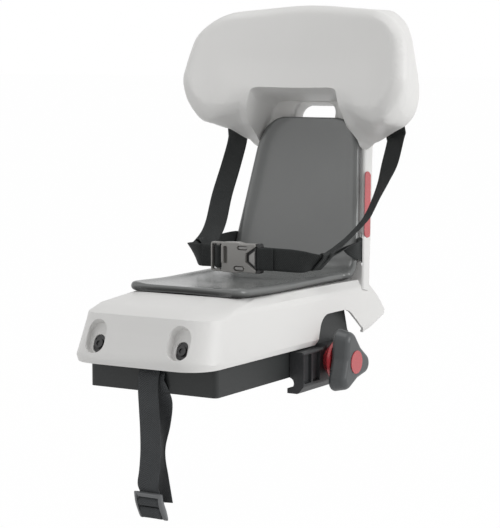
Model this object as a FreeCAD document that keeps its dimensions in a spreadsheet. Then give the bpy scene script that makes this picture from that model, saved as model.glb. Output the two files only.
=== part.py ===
import FreeCAD, Part
import math
import os
import re
import Sketcher
from FreeCAD import Placement, Rotation, Vector

# Rear child bike seat. Millimetres; +X is the seat's left-right axis with the knob on +X, +Y points to the
# rear of the bike, +Z up. The origin lies on the underside of the frame, straight below the clamp bolt.
SIZES = {
    # folded steel frame tray
    "frame_half_width": 77.5,
    "frame_front": -200,
    "frame_rear": 82,
    "frame_top": 34,
    "frame_floor": 2.5,
    "frame_wall": 2,
    "frame_bend": 5,
    "upstand_front": -30,
    "upstand_rear": 66,
    "upstand_top": 66,
    "tab_half_width": 14,
    "tab_high": 13,
    "tab_low": -12.5,
    "tab_depth": 34,
    "floor_slot_half": 16,
    "floor_slot_front": -110,
    "floor_slot_rear": -30,
    # shell, base part
    "wall": 2.8,
    "base_bottom": 30,
    "base_front": -239,
    "base_rear": 178,
    "base_front_half": 86,
    "base_rear_half": 92,
    "crease_height": 81,
    "crease_front": -218,
    "crease_front_half": 81,
    "crease_rear_half": 90,
    "deck_height": 90,
    "deck_front": -150,
    "deck_front_half": 69,
    "deck_rear_half": 86,
    "base_corner": 36,
    "crease_drop": 4,
    "crease_rise": 2,
    "foot_round": 6,
    "foot_inset": 3.5,
    "tail_top": 103,
    "tail_top_height": 97.5,
    "tail_tip": 160,
    "tail_tip_height": 41,
    "tail_under": 100,
    "tail_round": 8,
    "arch_front": -17,
    "arch_crown_front": 0,
    "arch_crown_rear": 58,
    "arch_rear": 112,
    "arch_foot": 18,
    "arch_crown": 61.5,
    "pocket_offset": 50.5,
    "pocket_height": 56.5,
    "pocket_half": 11.5,
    "pocket_rise": 16,
    "pocket_round": 10.5,
    "pocket_depth": 9,
    "pocket_draft": 6,
    "recess_drop": -4.5,
    "recess_half": 6.5,
    "recess_rise": 9.5,
    "recess_round": 6,
    "recess_depth": 12,
    "boss_radius": 8,
    "boss_offset": 52,
    "boss_front": -140,
    "boss_rear": 45,
    "boss_bore_depth": 26,
    # shell, back column (in the tilted frame of the back)
    "lean": 14,
    "back_foot": 93,
    "column_low": -10,
    "column_mid": 150,
    "column_top": 224,
    "column_low_half": 90.5,
    "column_mid_half": 71.5,
    "column_top_half": 57,
    "column_round": 22,
    "column_depth": 20,
    "column_edge_round": 4,
    "rib": 2.5,
    "rib_low": 7,
    "rib_belt": 63,
    "rib_mid": 112,
    "belt_slot_low": 12,
    "belt_slot_high": 54,
    "belt_slot_width": 2.6,
    "handle_half": 27,
    "handle_low": 174,
    "handle_high": 203,
    "handle_round": 13,
    # shell, headrest (same tilted frame)
    "head_front": -95,
    "head_rear": 14,
    "panel_depth": -50,
    "panel_radius": 375,
    "rim_depth": 10,
    "rim_radius": 340,
    "front_low_half": 66,
    "front_low": 196,
    "front_wing_half": 144,
    "front_wing": 200,
    "front_top_half": 136,
    "front_top": 283,
    "front_crown": 294,
    "rear_low": 140,
    "rear_wing_half": 146,
    "rear_wing": 179,
    "rear_top_half": 120,
    "rear_top": 309,
    "rear_crown": 317,
    "head_low_round": 60,
    "front_wing_round": 22,
    "rear_wing_round": 38,
    "head_top_round": 46,
    "head_crown_round": 450,
    "panel_round": 12,
    "notch_top": 205,
    "notch_top_half": 54,
    "notch_low": 110,
    "notch_low_half": 78.2,
    "notch_round": 14,
    "notch_draft": 1,
    "wing_rib_in": 86,
    "wing_rib_out": 122,
    "wing_rib_rear": -16,
    "wing_rib_top": 222,
    # pad
    "pad_gap": 0.4,
    "pad_thick": 9.5,
    "pad_front": -143,
    "pad_front_half": 72.5,
    "pad_front_round": 16,
    "pad_edge": 5.6,
    "pad_top": 184,
    "pad_top_round": 34,
    "pad_bend": 26,
    "pad_edge_round": 3.5,
    "pad_rear_half": 79,
    # red side marker
    "marker_width": 10,
    "marker_length": 76,
    "marker_proud": 0.8,
    "marker_centre": 88,
    # screws of the frame and the front pockets
    "screw_radius": 3,
    "screw_head_radius": 6,
    "screw_length": 24,
    "screw_play": 0.15,
    "washer_thick": 1.6,
    "washer_play": 0.4,
    "bolt_head_radius": 5,
    "bolt_head_height": 2.6,
    "bolt_socket_flats": 5,
    "nut_flats": 9,
    "nut_height": 5,
    # rack clamp
    "tube_radius": 6,
    "tube_offset": 77,
    "clamp_height": 13.5,
    "jaw_gap": 0.7,
    "jaw_outer": 95,
    "jaw_half_length": 54,
    "jaw_top": 28,
    "jaw_chamfer_height": -9,
    "jaw_foot_half": 88,
    "jaw_foot": -17,
    "jaw_tip": 75,
    "jaw_tip_rise": -11,
    "jaw_hub_radius": 17,
    "jaw_recess": 3.5,
    "jaw_rib": 3,
    "jaw_screw_offset": 26.25,
    "rod_radius": 4,
    "rod_play": 0.5,
    "rod_head_flats": 13,
    "rod_head_height": 5.3,
    "rod_end": 121,
    "flange_radius": 23.5,
    "flange_thick": 3,
    "flange_hub_radius": 12,
    "flange_hub": 11,
    "knob_gap": 0.5,
    "knob_length": 20,
    "knob_lobe": 56,
    "knob_lobe_round": 12,
    "knob_waist": 22,
    "knob_waist_round": 18,
    "knob_edge_round": 5,
    "knob_first_lobe": 108,
    "cap_radius": 12.5,
    "cap_thick": 3.5,
    "cap_proud": 0.8,
    "thread_play": 0.05,
    "insert_flats": 14,
    "insert_start": 4,
    "insert_length": 9,
    # belts and buckle
    "web_width": 25,
    "web_thick": 1.4,
    "buckle_x": -13,
    "buckle_y": -12,
    "buckle_z": 120,
    "buckle_half_width": 17,
    "buckle_half_thick": 5.5,
    "buckle_throat": 16,
    "socket_end": -32,
    "socket_neck": -17,
    "socket_skin": 2,
    "plug_end": 32,
    "plug_gap": 0.4,
    "prong_tip": -9,
    "prong_head": 3,
    "prong_inner": 7.5,
    "prong_outer": 11.5,
    "prong_half_thick": 2.6,
    "tongue_half": 3.5,
    "buckle_bar_half": 2.3,
    "buckle_bar": 4,
    "buckle_slot": 3.5,
    "buckle_rail": 3,
    "belt_pin_radius": 2.5,
    "belt_pin_offset": 72,
    "belt_pin_depth": 11,
    "belt_pin_low": 4.5,
    "belt_pin_high": 68,
    "shoulder_pin_radius": 3,
    "shoulder_pin_depth": -26,
    "shoulder_pin_level": 196,
    "shoulder_offset": 104,
    # safety strap
    "strap_slot_low": 19.6,
    "strap_slot_high": 26.4,
    "strap_slot_half": 14,
    "strap_bar_radius": 2.5,
    "strap_bar_y": -193.5,
    "strap_bar_half": 20,
    "strap_hang": -207.5,
    "lock_half_width": 20,
    "lock_top": -104,
    "lock_bottom": -135,
    "lock_half_thick": 4,
    "lock_bar": 4.5,
    "lock_slot": 5,
    "lock_side": 4.5,
}

doc = FreeCAD.newDocument("rear_child_seat")
sheet = doc.addObject("Spreadsheet::Sheet", "Dim")
for row, (alias, value) in enumerate(SIZES.items(), 1):
    sheet.set(f"A{row}", alias)
    sheet.set(f"B{row}", str(value))
    sheet.setAlias(f"B{row}", alias)
doc.recompute()

AXIS_X = Vector(1, 0, 0)
AXIS_Y = Vector(0, 1, 0)
AXIS_Z = Vector(0, 0, 1)
PLANES = {"top": "XY_Plane", "front": "XZ_Plane", "side": "YZ_Plane"}
THROUGH = 900
PARTS = []


def ex(text):
    """Point every size name in an expression at the sheet."""
    return re.sub(r"[a-z]\w*\b(?!\()", r"Dim.\g<0>", text)


def number(text):
    return float(sheet.evalExpression(text))


def new_body(name):
    return doc.addObject("PartDesign::Body", name)


def sketch(body, plane, level="0"):
    """Sketch on one of the body's planes; level is its place along +Z, +Y or +X."""
    result = body.newObject("Sketcher::SketchObject", f"{body.Name}_{plane}")
    support = next(item for item in body.Origin.OriginFeatures if item.Role == PLANES[plane])
    result.AttachmentSupport = [(support, "")]
    result.MapMode = "FlatFace"
    sign = "-" if plane == "front" else ""
    result.setExpression("AttachmentOffset.Base.z", ex(f"{sign}({level})"))
    return result


def bind(target, constraint, text):
    index = target.addConstraint(constraint)
    target.setExpression(f"Constraints[{index}]", ex(text))


def outline(target, corners):
    """Closed outline through corners (x, y, radius or None), each one held by the sheet."""
    points = [Vector(number(x), number(y), 0) for x, y, _ in corners]
    count = len(points)
    starts, ends, arcs = [], [], []
    for i, point in enumerate(points):
        radius = corners[i][2]
        back = (points[i - 1] - point).normalize()
        ahead = (points[(i + 1) % count] - point).normalize()
        if radius is None:
            starts.append(point)
            ends.append(point)
            arcs.append(None)
            continue
        half = back.getAngle(ahead) / 2
        size = number(radius)
        reach = size / math.tan(half)
        centre = point + (back + ahead).normalize() * (size / math.sin(half))
        starts.append(point + back * reach)
        ends.append(point + ahead * reach)
        tips = [starts[i] - centre, ends[i] - centre]
        if tips[0].cross(tips[1]).z < 0:
            tips.reverse()
        low, high = [math.atan2(tip.y, tip.x) for tip in tips]
        high += math.tau if high < low else 0
        arcs.append(Part.ArcOfCircle(Part.Circle(centre, AXIS_Z, size), low, high))
    lines = [target.addGeometry(Part.LineSegment(ends[i], starts[(i + 1) % count])) for i in range(count)]
    for i, (x, y, radius) in enumerate(corners):
        spot = target.addGeometry(Part.Point(points[i]), True)
        bind(target, Sketcher.Constraint("DistanceX", -1, 1, spot, 1, points[i].x), x)
        bind(target, Sketcher.Constraint("DistanceY", -1, 1, spot, 1, points[i].y), y)
        before, after = lines[i - 1], lines[i]
        if radius is None:
            target.addConstraint(Sketcher.Constraint("Coincident", before, 2, spot, 1))
            target.addConstraint(Sketcher.Constraint("Coincident", after, 1, spot, 1))
            continue
        arc = target.addGeometry(arcs[i])
        first = 1 if (target.Geometry[arc].StartPoint - starts[i]).Length < 1e-6 else 2
        target.addConstraint(Sketcher.Constraint("Tangent", before, 2, arc, first))
        target.addConstraint(Sketcher.Constraint("Tangent", arc, 3 - first, after, 1))
        bind(target, Sketcher.Constraint("Radius", arc, number(radius)), radius)
        target.addConstraint(Sketcher.Constraint("PointOnObject", spot, 1, before))
        target.addConstraint(Sketcher.Constraint("PointOnObject", spot, 1, after))


def box_outline(target, x0, x1, y0, y1, radius=None):
    outline(target, [(x0, y0, radius), (x1, y0, radius), (x1, y1, radius), (x0, y1, radius)])


def circle(target, x, y, radius):
    centre = Vector(number(x), number(y), 0)
    ring = target.addGeometry(Part.Circle(centre, AXIS_Z, number(radius)))
    bind(target, Sketcher.Constraint("Radius", ring, number(radius)), radius)
    bind(target, Sketcher.Constraint("DistanceX", -1, 1, ring, 3, centre.x), x)
    bind(target, Sketcher.Constraint("DistanceY", -1, 1, ring, 3, centre.y), y)


def hexagon(target, x, y, flats):
    corners = []
    reach = f"{flats} / 2 / cos(30)"
    for turn in range(0, 360, 60):
        corners.append((f"{x} + {reach} * cos({turn})", f"{y} + {reach} * sin({turn})", None))
    outline(target, corners)


def feature(kind, body, profile, length, both=False, flip=False, taper=None):
    """Pad or pocket; a pocket cuts against its sketch's normal unless it is flipped."""
    doc.recompute()
    result = body.newObject(f"PartDesign::{kind}", f"{body.Name}_{kind}")
    result.Profile = profile
    result.setExpression("Length", ex(length))
    result.SideType = "Symmetric" if both else "One side"
    result.Reversed = flip
    if taper:
        result.setExpression("TaperAngle", ex(taper))
    doc.recompute()
    return result


def pad(body, profile, length, **options):
    return feature("Pad", body, profile, length, **options)


def pocket(body, profile, length=str(THROUGH), **options):
    return feature("Pocket", body, profile, length, **options)


def loft(body, first, *others):
    doc.recompute()
    result = body.newObject("PartDesign::AdditiveLoft", f"{body.Name}_Loft")
    result.Profile = (first, [""])
    result.Sections = [(other, [""]) for other in others]
    result.Ruled = True
    doc.recompute()
    return result


def round_edges(body, radius, wanted):
    """Fillet the edges of the body's tip for which wanted(edge) holds."""
    base = body.Tip
    names = [f"Edge{i}" for i, edge in enumerate(base.Shape.Edges, 1) if wanted(edge)]
    result = body.newObject("PartDesign::Fillet", f"{body.Name}_Fillet")
    result.Base = (base, names)
    result.setExpression("Radius", ex(radius))
    doc.recompute()
    return result


def near(a, b, play=1e-3):
    return abs(a - b) < play


def middle(edge):
    return edge.valueAt((edge.FirstParameter + edge.LastParameter) / 2)


def boolean(kind, name, base, tool):
    result = doc.addObject(f"Part::{kind}", name)
    result.Base = base
    result.Tool = tool
    doc.recompute()
    return result


def fuse(name, *shapes):
    result = doc.addObject("Part::MultiFuse", name)
    result.Shapes = list(shapes)
    result.Refine = True
    doc.recompute()
    return result


def shaped(name, shape):
    result = doc.addObject("Part::Feature", name)
    result.Shape = shape
    return result


def keep(item, label):
    item.Label = label
    PARTS.append(item)
    return item


BACK = Placement(
    Vector(0, number("back_foot"), number("deck_height")),
    Rotation(AXIS_X, -number("lean")),
)


def lean_back(body):
    """Stand a body built in the frame of the back on the deck."""
    body.Placement = BACK
    body.setExpression("Placement.Base.y", ex("back_foot"))
    body.setExpression("Placement.Base.z", ex("deck_height"))
    return body


def on_back(u, v, w):
    return BACK.multVec(Vector(u, v, w))


# Shell base: three plan outlines joined straight, then the tail slope and the two side arches cut away.
def plan(target, half_front, half_rear, front, inset):
    corner = f"base_corner - {inset}"
    outline(target, [
        (f"-({half_front} - {inset})", f"{front} + {inset}", corner),
        (f"{half_front} - {inset}", f"{front} + {inset}", corner),
        (f"{half_rear} - {inset}", f"base_rear - {inset}", corner),
        (f"-({half_rear} - {inset})", f"base_rear - {inset}", corner),
    ])


def between(first, second, share):
    return f"({first} + ({second} - {first}) * {share})"


def base_volume(name, inset):
    body = new_body(name)
    low = ("base_front_half", "base_rear_half", "base_front")
    crease = ("crease_front_half", "crease_rear_half", "crease_front")
    deck = ("deck_front_half", "deck_rear_half", "deck_front")
    drop = "crease_drop / (crease_height - base_bottom)"
    rise = "crease_rise / (deck_height - crease_height)"
    foot = "foot_round / (crease_height - base_bottom)"
    stages = [
        ("base_bottom", low, f"({inset} + foot_inset)"),
        ("base_bottom + foot_round", [between(a, b, foot) for a, b in zip(low, crease)], inset),
        ("crease_height - crease_drop", [between(a, b, drop) for a, b in zip(crease, low)], inset),
        (f"crease_height + crease_rise - {inset}", [between(a, b, rise) for a, b in zip(crease, deck)],
         inset),
        (f"deck_height - {inset}", deck, inset),
    ]
    sections = []
    for level, halves, shrink in stages:
        section = sketch(body, "top", level)
        plan(section, *halves, shrink)
        sections.append(section)
    loft(body, *sections)
    tail = sketch(body, "side")
    outline(tail, [
        (f"tail_top - 1.52 * {inset}", "tail_top_height", None),
        (f"tail_tip - 2.22 * {inset}", f"tail_tip_height + 0.61 * {inset}", f"tail_round - {inset}"),
        ("tail_under", f"base_bottom - 1 + {inset}", None),
        ("tail_under", "0", None),
        ("base_rear + tail_round", "0", None),
        ("base_rear + tail_round", "tail_top_height", None),
    ])
    pocket(body, tail, both=True)
    return body


base_outer = base_volume("base_outer", "0")
base_inner = base_volume("base_inner", "wall")


def both_sides(text):
    return [text, f"-({text})"]


# Front pockets, in the plane of the leaning front face: x across, y inwards, z up along the face.
FACE_LEAN = "atan((crease_front - base_front) / (crease_height - base_bottom))"
FACE_SHARE = "((pocket_height - base_bottom) / (crease_height - base_bottom))"
FACE_Y = between("base_front", "crease_front", FACE_SHARE)


def on_face(body):
    body.Placement = Placement(Vector(), Rotation(AXIS_X, -number(FACE_LEAN)))
    body.setExpression("Placement.Base.y", ex(FACE_Y))
    body.setExpression("Placement.Base.z", ex("pocket_height"))
    return body


pocket_cut = on_face(new_body("pocket_cut"))
pocket_mouth = sketch(pocket_cut, "front", "pocket_depth")
pocket_wall = on_face(new_body("pocket_wall"))
pocket_back = sketch(pocket_wall, "front", "tab_depth")
for centre in both_sides("pocket_offset"):
    box_outline(pocket_mouth, f"{centre} - pocket_half", f"{centre} + pocket_half",
                "-pocket_rise", "pocket_rise", "pocket_round")
    box_outline(pocket_back, f"{centre} - pocket_half - 2 * wall", f"{centre} + pocket_half + 2 * wall",
                "-pocket_rise - wall", "pocket_rise + 2 * wall", "pocket_round + wall")
pad(pocket_cut, pocket_mouth, "2 * pocket_depth", taper="pocket_draft")
pad(pocket_wall, pocket_back, "tab_depth")

bolt_holes = on_face(new_body("bolt_holes"))
recess = sketch(bolt_holes, "front", "recess_depth")
bolt_way = sketch(bolt_holes, "front", "tab_depth + 2 * frame_wall")
for centre in both_sides("pocket_offset"):
    box_outline(recess, f"{centre} - recess_half", f"{centre} + recess_half", "recess_drop - recess_rise",
                "recess_drop + recess_rise", "recess_round")
    circle(bolt_way, centre, "recess_drop", "screw_radius + screw_play")
pad(bolt_holes, recess, "recess_depth")
pad(bolt_holes, bolt_way, "tab_depth + 2 * frame_wall - recess_depth + wall")

bosses = new_body("bosses")
boss_feet = sketch(bosses, "top", "frame_floor")
BOSS_PLACES = [(x, y) for x in both_sides("boss_offset") for y in ("boss_front", "boss_rear")]
for x, y in BOSS_PLACES:
    circle(boss_feet, x, y, "boss_radius")
pad(bosses, boss_feet, "deck_height - wall / 2 - frame_floor")

# Holes of the base: the side arches and the bores of the screw bosses.
arches = new_body("arches")
arch = sketch(arches, "side")
outline(arch, [
    ("arch_front", "arch_foot", None),
    ("arch_crown_front", "arch_crown", "22"),
    ("arch_crown_rear", "arch_crown", "30"),
    ("arch_rear", "arch_foot", None),
])
pad(arches, arch, str(THROUGH), both=True)

base_holes = new_body("base_holes")
boss_bores = sketch(base_holes, "top", "frame_floor")
for x, y in BOSS_PLACES:
    circle(boss_bores, x, y, "screw_radius + screw_play")
pad(base_holes, boss_bores, "boss_bore_depth")

base_skin = boolean("Cut", "base_skin", base_outer, pocket_cut)
base_room = boolean("Cut", "base_room", base_inner, pocket_wall)
base_open = boolean("Cut", "base_open", base_skin, base_room)
base_arched = boolean("Cut", "base_arched", base_open, arches)
base_whole = fuse("base_whole", base_arched, bosses)
base_bored = boolean("Cut", "base_bored", base_whole, base_holes)
shell_base = boolean("Cut", "shell_base", base_bored, bolt_holes)


# Back column: a shallow tray, open to the rear, its cells parted by ribs that also carry the belt pins.
def column_half(level):
    return (f"(column_low_half - (column_low_half - column_mid_half) * ({level} - column_low)"
            " / (column_mid - column_low))")


def head_half(level):
    return (f"(column_mid_half - (column_mid_half - column_top_half) * ({level} - column_mid)"
            " / (column_top - column_mid))")


column = lean_back(new_body("column"))
column_plan = sketch(column, "front", "column_depth")
outline(column_plan, [
    ("-column_low_half", "column_low", None),
    ("column_low_half", "column_low", None),
    ("column_mid_half", "column_mid", None),
    ("column_top_half", "column_top", "column_round"),
    ("-column_top_half", "column_top", "column_round"),
    ("-column_mid_half", "column_mid", None),
])
pad(column, column_plan, "column_depth")
column_foot = number("column_low")
round_edges(
    column, "column_edge_round",
    lambda edge: near(edge.BoundBox.YMax, 0) and near(edge.BoundBox.YMin, 0)
    and edge.BoundBox.ZMax > column_foot + 1,
)
cells = sketch(column, "front", "wall")
half_rib = "rib / 2"
LEVELS = [("column_low - 1", f"rib_low - {half_rib}")]
LEVELS += [(f"{a} + {half_rib}", f"{b} - {half_rib}") for a, b in (
    ("rib_low", "rib_belt"), ("rib_belt", "rib_mid"), ("rib_mid", "column_mid"))]
for low, high in LEVELS:
    outline(cells, [
        (f"-{column_half(low)} + wall", low, None),
        (f"{column_half(low)} - wall", low, None),
        (f"{column_half(high)} - wall", high, None),
        (f"-{column_half(high)} + wall", high, None),
    ])
top_cell = "column_mid + rib"
outline(cells, [
    (f"-{head_half(top_cell)} + wall", top_cell, None),
    (f"{head_half(top_cell)} - wall", top_cell, None),
    ("column_top_half - wall", "column_top - wall", "column_round - wall"),
    ("-column_top_half + wall", "column_top - wall", "column_round - wall"),
])
pocket(column, cells, "column_depth")
collar = sketch(column, "front", "column_depth")
box_outline(collar, "-handle_half - wall", "handle_half + wall", "handle_low - wall", "handle_high + wall",
            "handle_round + wall")
pad(column, collar, "column_depth")
openings = sketch(column, "front", "-1")
for side in ("", "-"):
    outline(openings, [
        (f"{side}({column_half('belt_slot_low')} - wall - belt_slot_width)", "belt_slot_low", None),
        (f"{side}({column_half('belt_slot_low')} - wall)", "belt_slot_low", None),
        (f"{side}({column_half('belt_slot_high')} - wall)", "belt_slot_high", None),
        (f"{side}({column_half('belt_slot_high')} - wall - belt_slot_width)", "belt_slot_high", None),
    ])
pocket(column, openings, "column_depth + 2")
pin_ways = sketch(column, "top", "belt_pin_high")
for centre in both_sides("belt_pin_offset"):
    circle(pin_ways, centre, "belt_pin_depth", "belt_pin_radius + thread_play")
pocket(column, pin_ways, "belt_pin_high - belt_pin_low")


# Headrest: front and rear outlines joined straight, its face hollowed and its back rounded by two cylinders.
def head_outline(target, low, wing_half, wing, top_half, top, crown, wing_round, inset):
    outline(target, [
        ("-front_low_half", f"{low} + {inset}", "head_low_round"),
        ("front_low_half", f"{low} + {inset}", "head_low_round"),
        (f"{wing_half} - {inset}", f"{wing} + {inset}", f"{wing_round} - {inset}"),
        (f"{top_half} - {inset}", f"{top} - {inset}", f"head_top_round - {inset}"),
        ("0", f"{crown} - {inset}", "head_crown_round"),
        (f"-({top_half} - {inset})", f"{top} - {inset}", f"head_top_round - {inset}"),
        (f"-({wing_half} - {inset})", f"{wing} + {inset}", f"{wing_round} - {inset}"),
    ])


def head_volume(name, inset):
    body = lean_back(new_body(name))
    front = sketch(body, "front", "head_front")
    head_outline(front, "front_low", "front_wing_half", "front_wing", "front_top_half", "front_top",
                 "front_crown", "front_wing_round", inset)
    rear = sketch(body, "front", "head_rear")
    head_outline(rear, "rear_low", "rear_wing_half", "rear_wing", "rear_top_half", "rear_top",
                 "rear_crown", "rear_wing_round", inset)
    loft(body, front, rear)
    face = sketch(body, "top")
    circle(face, "0", "panel_depth - panel_radius", f"panel_radius + {inset}")
    pocket(body, face, both=True)
    reach = number("panel_radius") + number(inset)
    centre = number("panel_depth - panel_radius")
    round_edges(
        body, f"panel_round - {inset}",
        lambda edge: near(math.hypot(middle(edge).x, middle(edge).y - centre), reach, 1e-2),
    )
    return body


head_outer = head_volume("head_outer", "0")
head_back = sketch(head_outer, "top")
box_outline(head_back, "-2 * rim_radius", "2 * rim_radius", "-3 * rim_radius", "rim_radius")
circle(head_back, "0", "rim_depth - rim_radius", "rim_radius")
pocket(head_outer, head_back, both=True)
head_inner = head_volume("head_inner", "wall")


def notch_volume(name, grow):
    body = lean_back(new_body(name))
    sections = []
    for level, draft in (("head_front - 10", f"(-{grow})"), (grow, f"(notch_draft - {grow})")):
        section = sketch(body, "front", level)
        outline(section, [
            (f"-(notch_low_half - {draft})", "notch_low", None),
            (f"notch_low_half - {draft}", "notch_low", None),
            (f"notch_top_half - {draft}", f"notch_top - {draft}", "notch_round"),
            (f"-(notch_top_half - {draft})", f"notch_top - {draft}", "notch_round"),
        ])
        sections.append(section)
    loft(body, *sections)
    return body


notch = notch_volume("notch", "0")
notch_wall = notch_volume("notch_wall", "wall")

wing_ribs = lean_back(new_body("wing_ribs"))
rib_feet = sketch(wing_ribs, "top", "notch_low")
for side in ("", "-"):
    for place in ("wing_rib_in", "wing_rib_out"):
        box_outline(rib_feet, f"{side}{place} - rib / 2", f"{side}{place} + rib / 2",
                    "head_front", "wing_rib_rear")
pad(wing_ribs, rib_feet, "wing_rib_top - notch_low")
pin_hole = sketch(wing_ribs, "side")
circle(pin_hole, "shoulder_pin_depth", "shoulder_pin_level", "shoulder_pin_radius + thread_play")
pocket(wing_ribs, pin_hole, both=True)

head_skin = boolean("Cut", "head_skin", head_outer, notch)
head_room = boolean("Cut", "head_room", head_inner, notch_wall)
head_cells = boolean("Cut", "head_cells", head_room, wing_ribs)
head_open = boolean("Cut", "head_open", head_skin, head_cells)
shell_whole = fuse("shell_whole", shell_base, column, head_open)
handle_way = lean_back(new_body("handle_way"))
handle = sketch(handle_way, "front", "column_depth + wall")
box_outline(handle, "-handle_half", "handle_half", "handle_low", "handle_high", "handle_round")
pad(handle_way, handle, "column_depth + 3 * wall")
keep(boolean("Cut", "seat_shell", shell_whole, handle_way), "seat_shell")


def primitive(kind, name, sizes, place, axis=AXIS_Z):
    """Part cylinder or cone; sizes maps properties to expressions, place holds x, y and z."""
    result = doc.addObject(f"Part::{kind}", name)
    result.Placement = Placement(Vector(), Rotation(AXIS_Z, axis))
    for key, text in sizes.items():
        result.setExpression(key, ex(text))
    for key, text in zip("xyz", place):
        result.setExpression(f"Placement.Base.{key}", ex(text))
    doc.recompute()
    return result


def cylinder(name, radius, height, place, axis=AXIS_Z):
    return primitive("Cylinder", name, {"Radius": radius, "Height": height}, place, axis)


def copies(name, unit, places):
    moves = [Vector(*[number(text) for text in place]) for place in places]
    return shaped(name, Part.makeCompound([unit.Shape.translated(move) for move in moves]))


# Pad: an L-shaped band lying on the deck and the column, trimmed to the plan of the seat and of the back.
def corner_level(depth):
    """Height along the back at which planes lying the same depth off deck and column meet."""
    return f"(({depth}) * (1 - sin(lean)) / cos(lean))"


def back_y(depth, level):
    return f"(back_foot + ({depth}) * cos(lean) + ({level}) * sin(lean))"


def back_z(depth, level):
    return f"(deck_height - ({depth}) * sin(lean) + ({level}) * cos(lean))"


def band_corner(depth, radius):
    return (back_y(f"-({depth})", corner_level(depth)), f"deck_height + {depth}", radius)


pad_face = "(pad_gap + pad_thick)"
pad_band = new_body("pad_band")
band = sketch(pad_band, "side")
outline(band, [
    ("pad_front", "deck_height + pad_gap", None),
    band_corner("pad_gap", None),
    (back_y("-pad_gap", "pad_top"), back_z("-pad_gap", "pad_top"), None),
    (back_y(f"-{pad_face}", "pad_top"), back_z(f"-{pad_face}", "pad_top"), "pad_edge_round"),
    band_corner(pad_face, "pad_bend"),
    ("pad_front", f"deck_height + {pad_face}", "pad_edge_round"),
])
pad(pad_band, band, "2 * column_low_half", both=True)
pad_plan = new_body("pad_plan")
seat_plan = sketch(pad_plan, "top", "deck_height")
outline(seat_plan, [
    ("-pad_front_half", "pad_front", "pad_front_round"),
    ("pad_front_half", "pad_front", "pad_front_round"),
    ("pad_rear_half", "back_foot + pad_bend", None),
    ("-pad_rear_half", "back_foot + pad_bend", None),
])
pad(pad_plan, seat_plan, "pad_thick + pad_bend")
pad_back = lean_back(new_body("pad_back"))
back_plan = sketch(pad_back, "front", "pad_gap")
outline(back_plan, [
    (f"-({column_half('pad_thick')} - pad_edge)", "pad_thick", None),
    (f"{column_half('pad_thick')} - pad_edge", "pad_thick", None),
    ("column_mid_half - pad_edge", "column_mid", None),
    (f"{head_half('pad_top')} - pad_edge - 2 * pad_gap", "pad_top", "pad_top_round"),
    (f"-({head_half('pad_top')} - pad_edge - 2 * pad_gap)", "pad_top", "pad_top_round"),
    ("-(column_mid_half - pad_edge)", "column_mid", None),
])
pad(pad_back, back_plan, "pad_thick + pad_bend")
pad_limits = fuse("pad_limits", pad_plan, pad_back)
keep(boolean("Common", "seat_pad", pad_band, pad_limits), "seat_pad")

# Red marker: a flat pill stuck on the right wall of the column.
marker = new_body("side_marker")
pill = sketch(marker, "side")
box_outline(pill, "-marker_width / 2", "marker_width / 2", "-marker_length / 2", "marker_length / 2",
            "marker_width / 2 - pad_gap")
pad(marker, pill, "marker_proud")
side_slope = math.atan2(number("column_low_half - column_mid_half"), number("column_mid - column_low"))
marker.Placement = Placement(
    on_back(number(column_half("marker_centre")), number("column_depth / 2"), number("marker_centre")),
    BACK.Rotation.multiply(Rotation(AXIS_Y, -math.degrees(side_slope))),
)
keep(marker, "side_marker")

# Frame: a folded steel tray with side upstands, two front tabs, and slots and holes for what it carries.
frame_body = new_body("frame_body")
floor_plan = sketch(frame_body, "top")
box_outline(floor_plan, "-frame_half_width", "frame_half_width", "frame_front", "frame_rear", "frame_bend")
pad(frame_body, floor_plan, "frame_top")
room = sketch(frame_body, "top", "frame_top")
box_outline(room, "-frame_half_width + frame_wall", "frame_half_width - frame_wall",
            "frame_front + frame_wall", "frame_rear - frame_wall", "frame_bend - frame_wall")
pocket(frame_body, room, "frame_top - frame_floor")
for level in ("frame_half_width - frame_wall", "-frame_half_width"):
    upstand = sketch(frame_body, "side", level)
    outline(upstand, [
        ("upstand_front", "frame_top - 1", None),
        ("frame_rear - frame_bend", "frame_top - 1", None),
        ("upstand_rear", "upstand_top", "frame_bend"),
        ("upstand_front", "upstand_top", "frame_bend"),
    ])
    pad(frame_body, upstand, "frame_wall")
front_holes = sketch(frame_body, "front", "frame_front - 1")
box_outline(front_holes, "-strap_slot_half", "strap_slot_half", "strap_slot_low", "strap_slot_high",
            "frame_wall")
pocket(frame_body, front_holes, "frame_wall + 2")
side_holes = sketch(frame_body, "side")
circle(side_holes, "0", "clamp_height", "rod_radius + rod_play")
for place in both_sides("jaw_screw_offset"):
    circle(side_holes, place, "clamp_height", "screw_radius + screw_play")
pocket(frame_body, side_holes, both=True)
floor_slots = sketch(frame_body, "top", "frame_floor + 1")
for centre in both_sides("2 * floor_slot_half"):
    box_outline(floor_slots, f"{centre} - floor_slot_half / 2", f"{centre} + floor_slot_half / 2",
                "floor_slot_front", "floor_slot_rear", "floor_slot_half / 2 - 1")
pocket(frame_body, floor_slots, "frame_floor + 2")
tab_body = on_face(new_body("tab_body"))
tabs = sketch(tab_body, "front", "tab_depth + frame_wall")
for centre in both_sides("pocket_offset"):
    outline(tabs, [
        (f"{centre} - tab_half_width", "tab_low", None),
        (f"{centre} + tab_half_width", "tab_low", None),
        (f"{centre} + tab_half_width", "tab_high", "frame_bend"),
        (f"{centre} - tab_half_width", "tab_high", "frame_bend"),
    ])
pad(tab_body, tabs, "frame_wall")
frame_whole = fuse("frame_whole", frame_body, tab_body)
frame_drilled = boolean("Cut", "frame_drilled", frame_whole, bolt_holes)

# Countersunk screws hold the tray up against the bosses of the shell.
SCREW_PLACES = [(x, y, "0") for x, y in BOSS_PLACES]


def countersink(name, play):
    return primitive(
        "Cone", name,
        {"Radius1": f"screw_head_radius + {play}", "Radius2": f"screw_radius + {play}",
         "Height": "frame_floor"},
        ("0", "0", "0"),
    )


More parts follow.
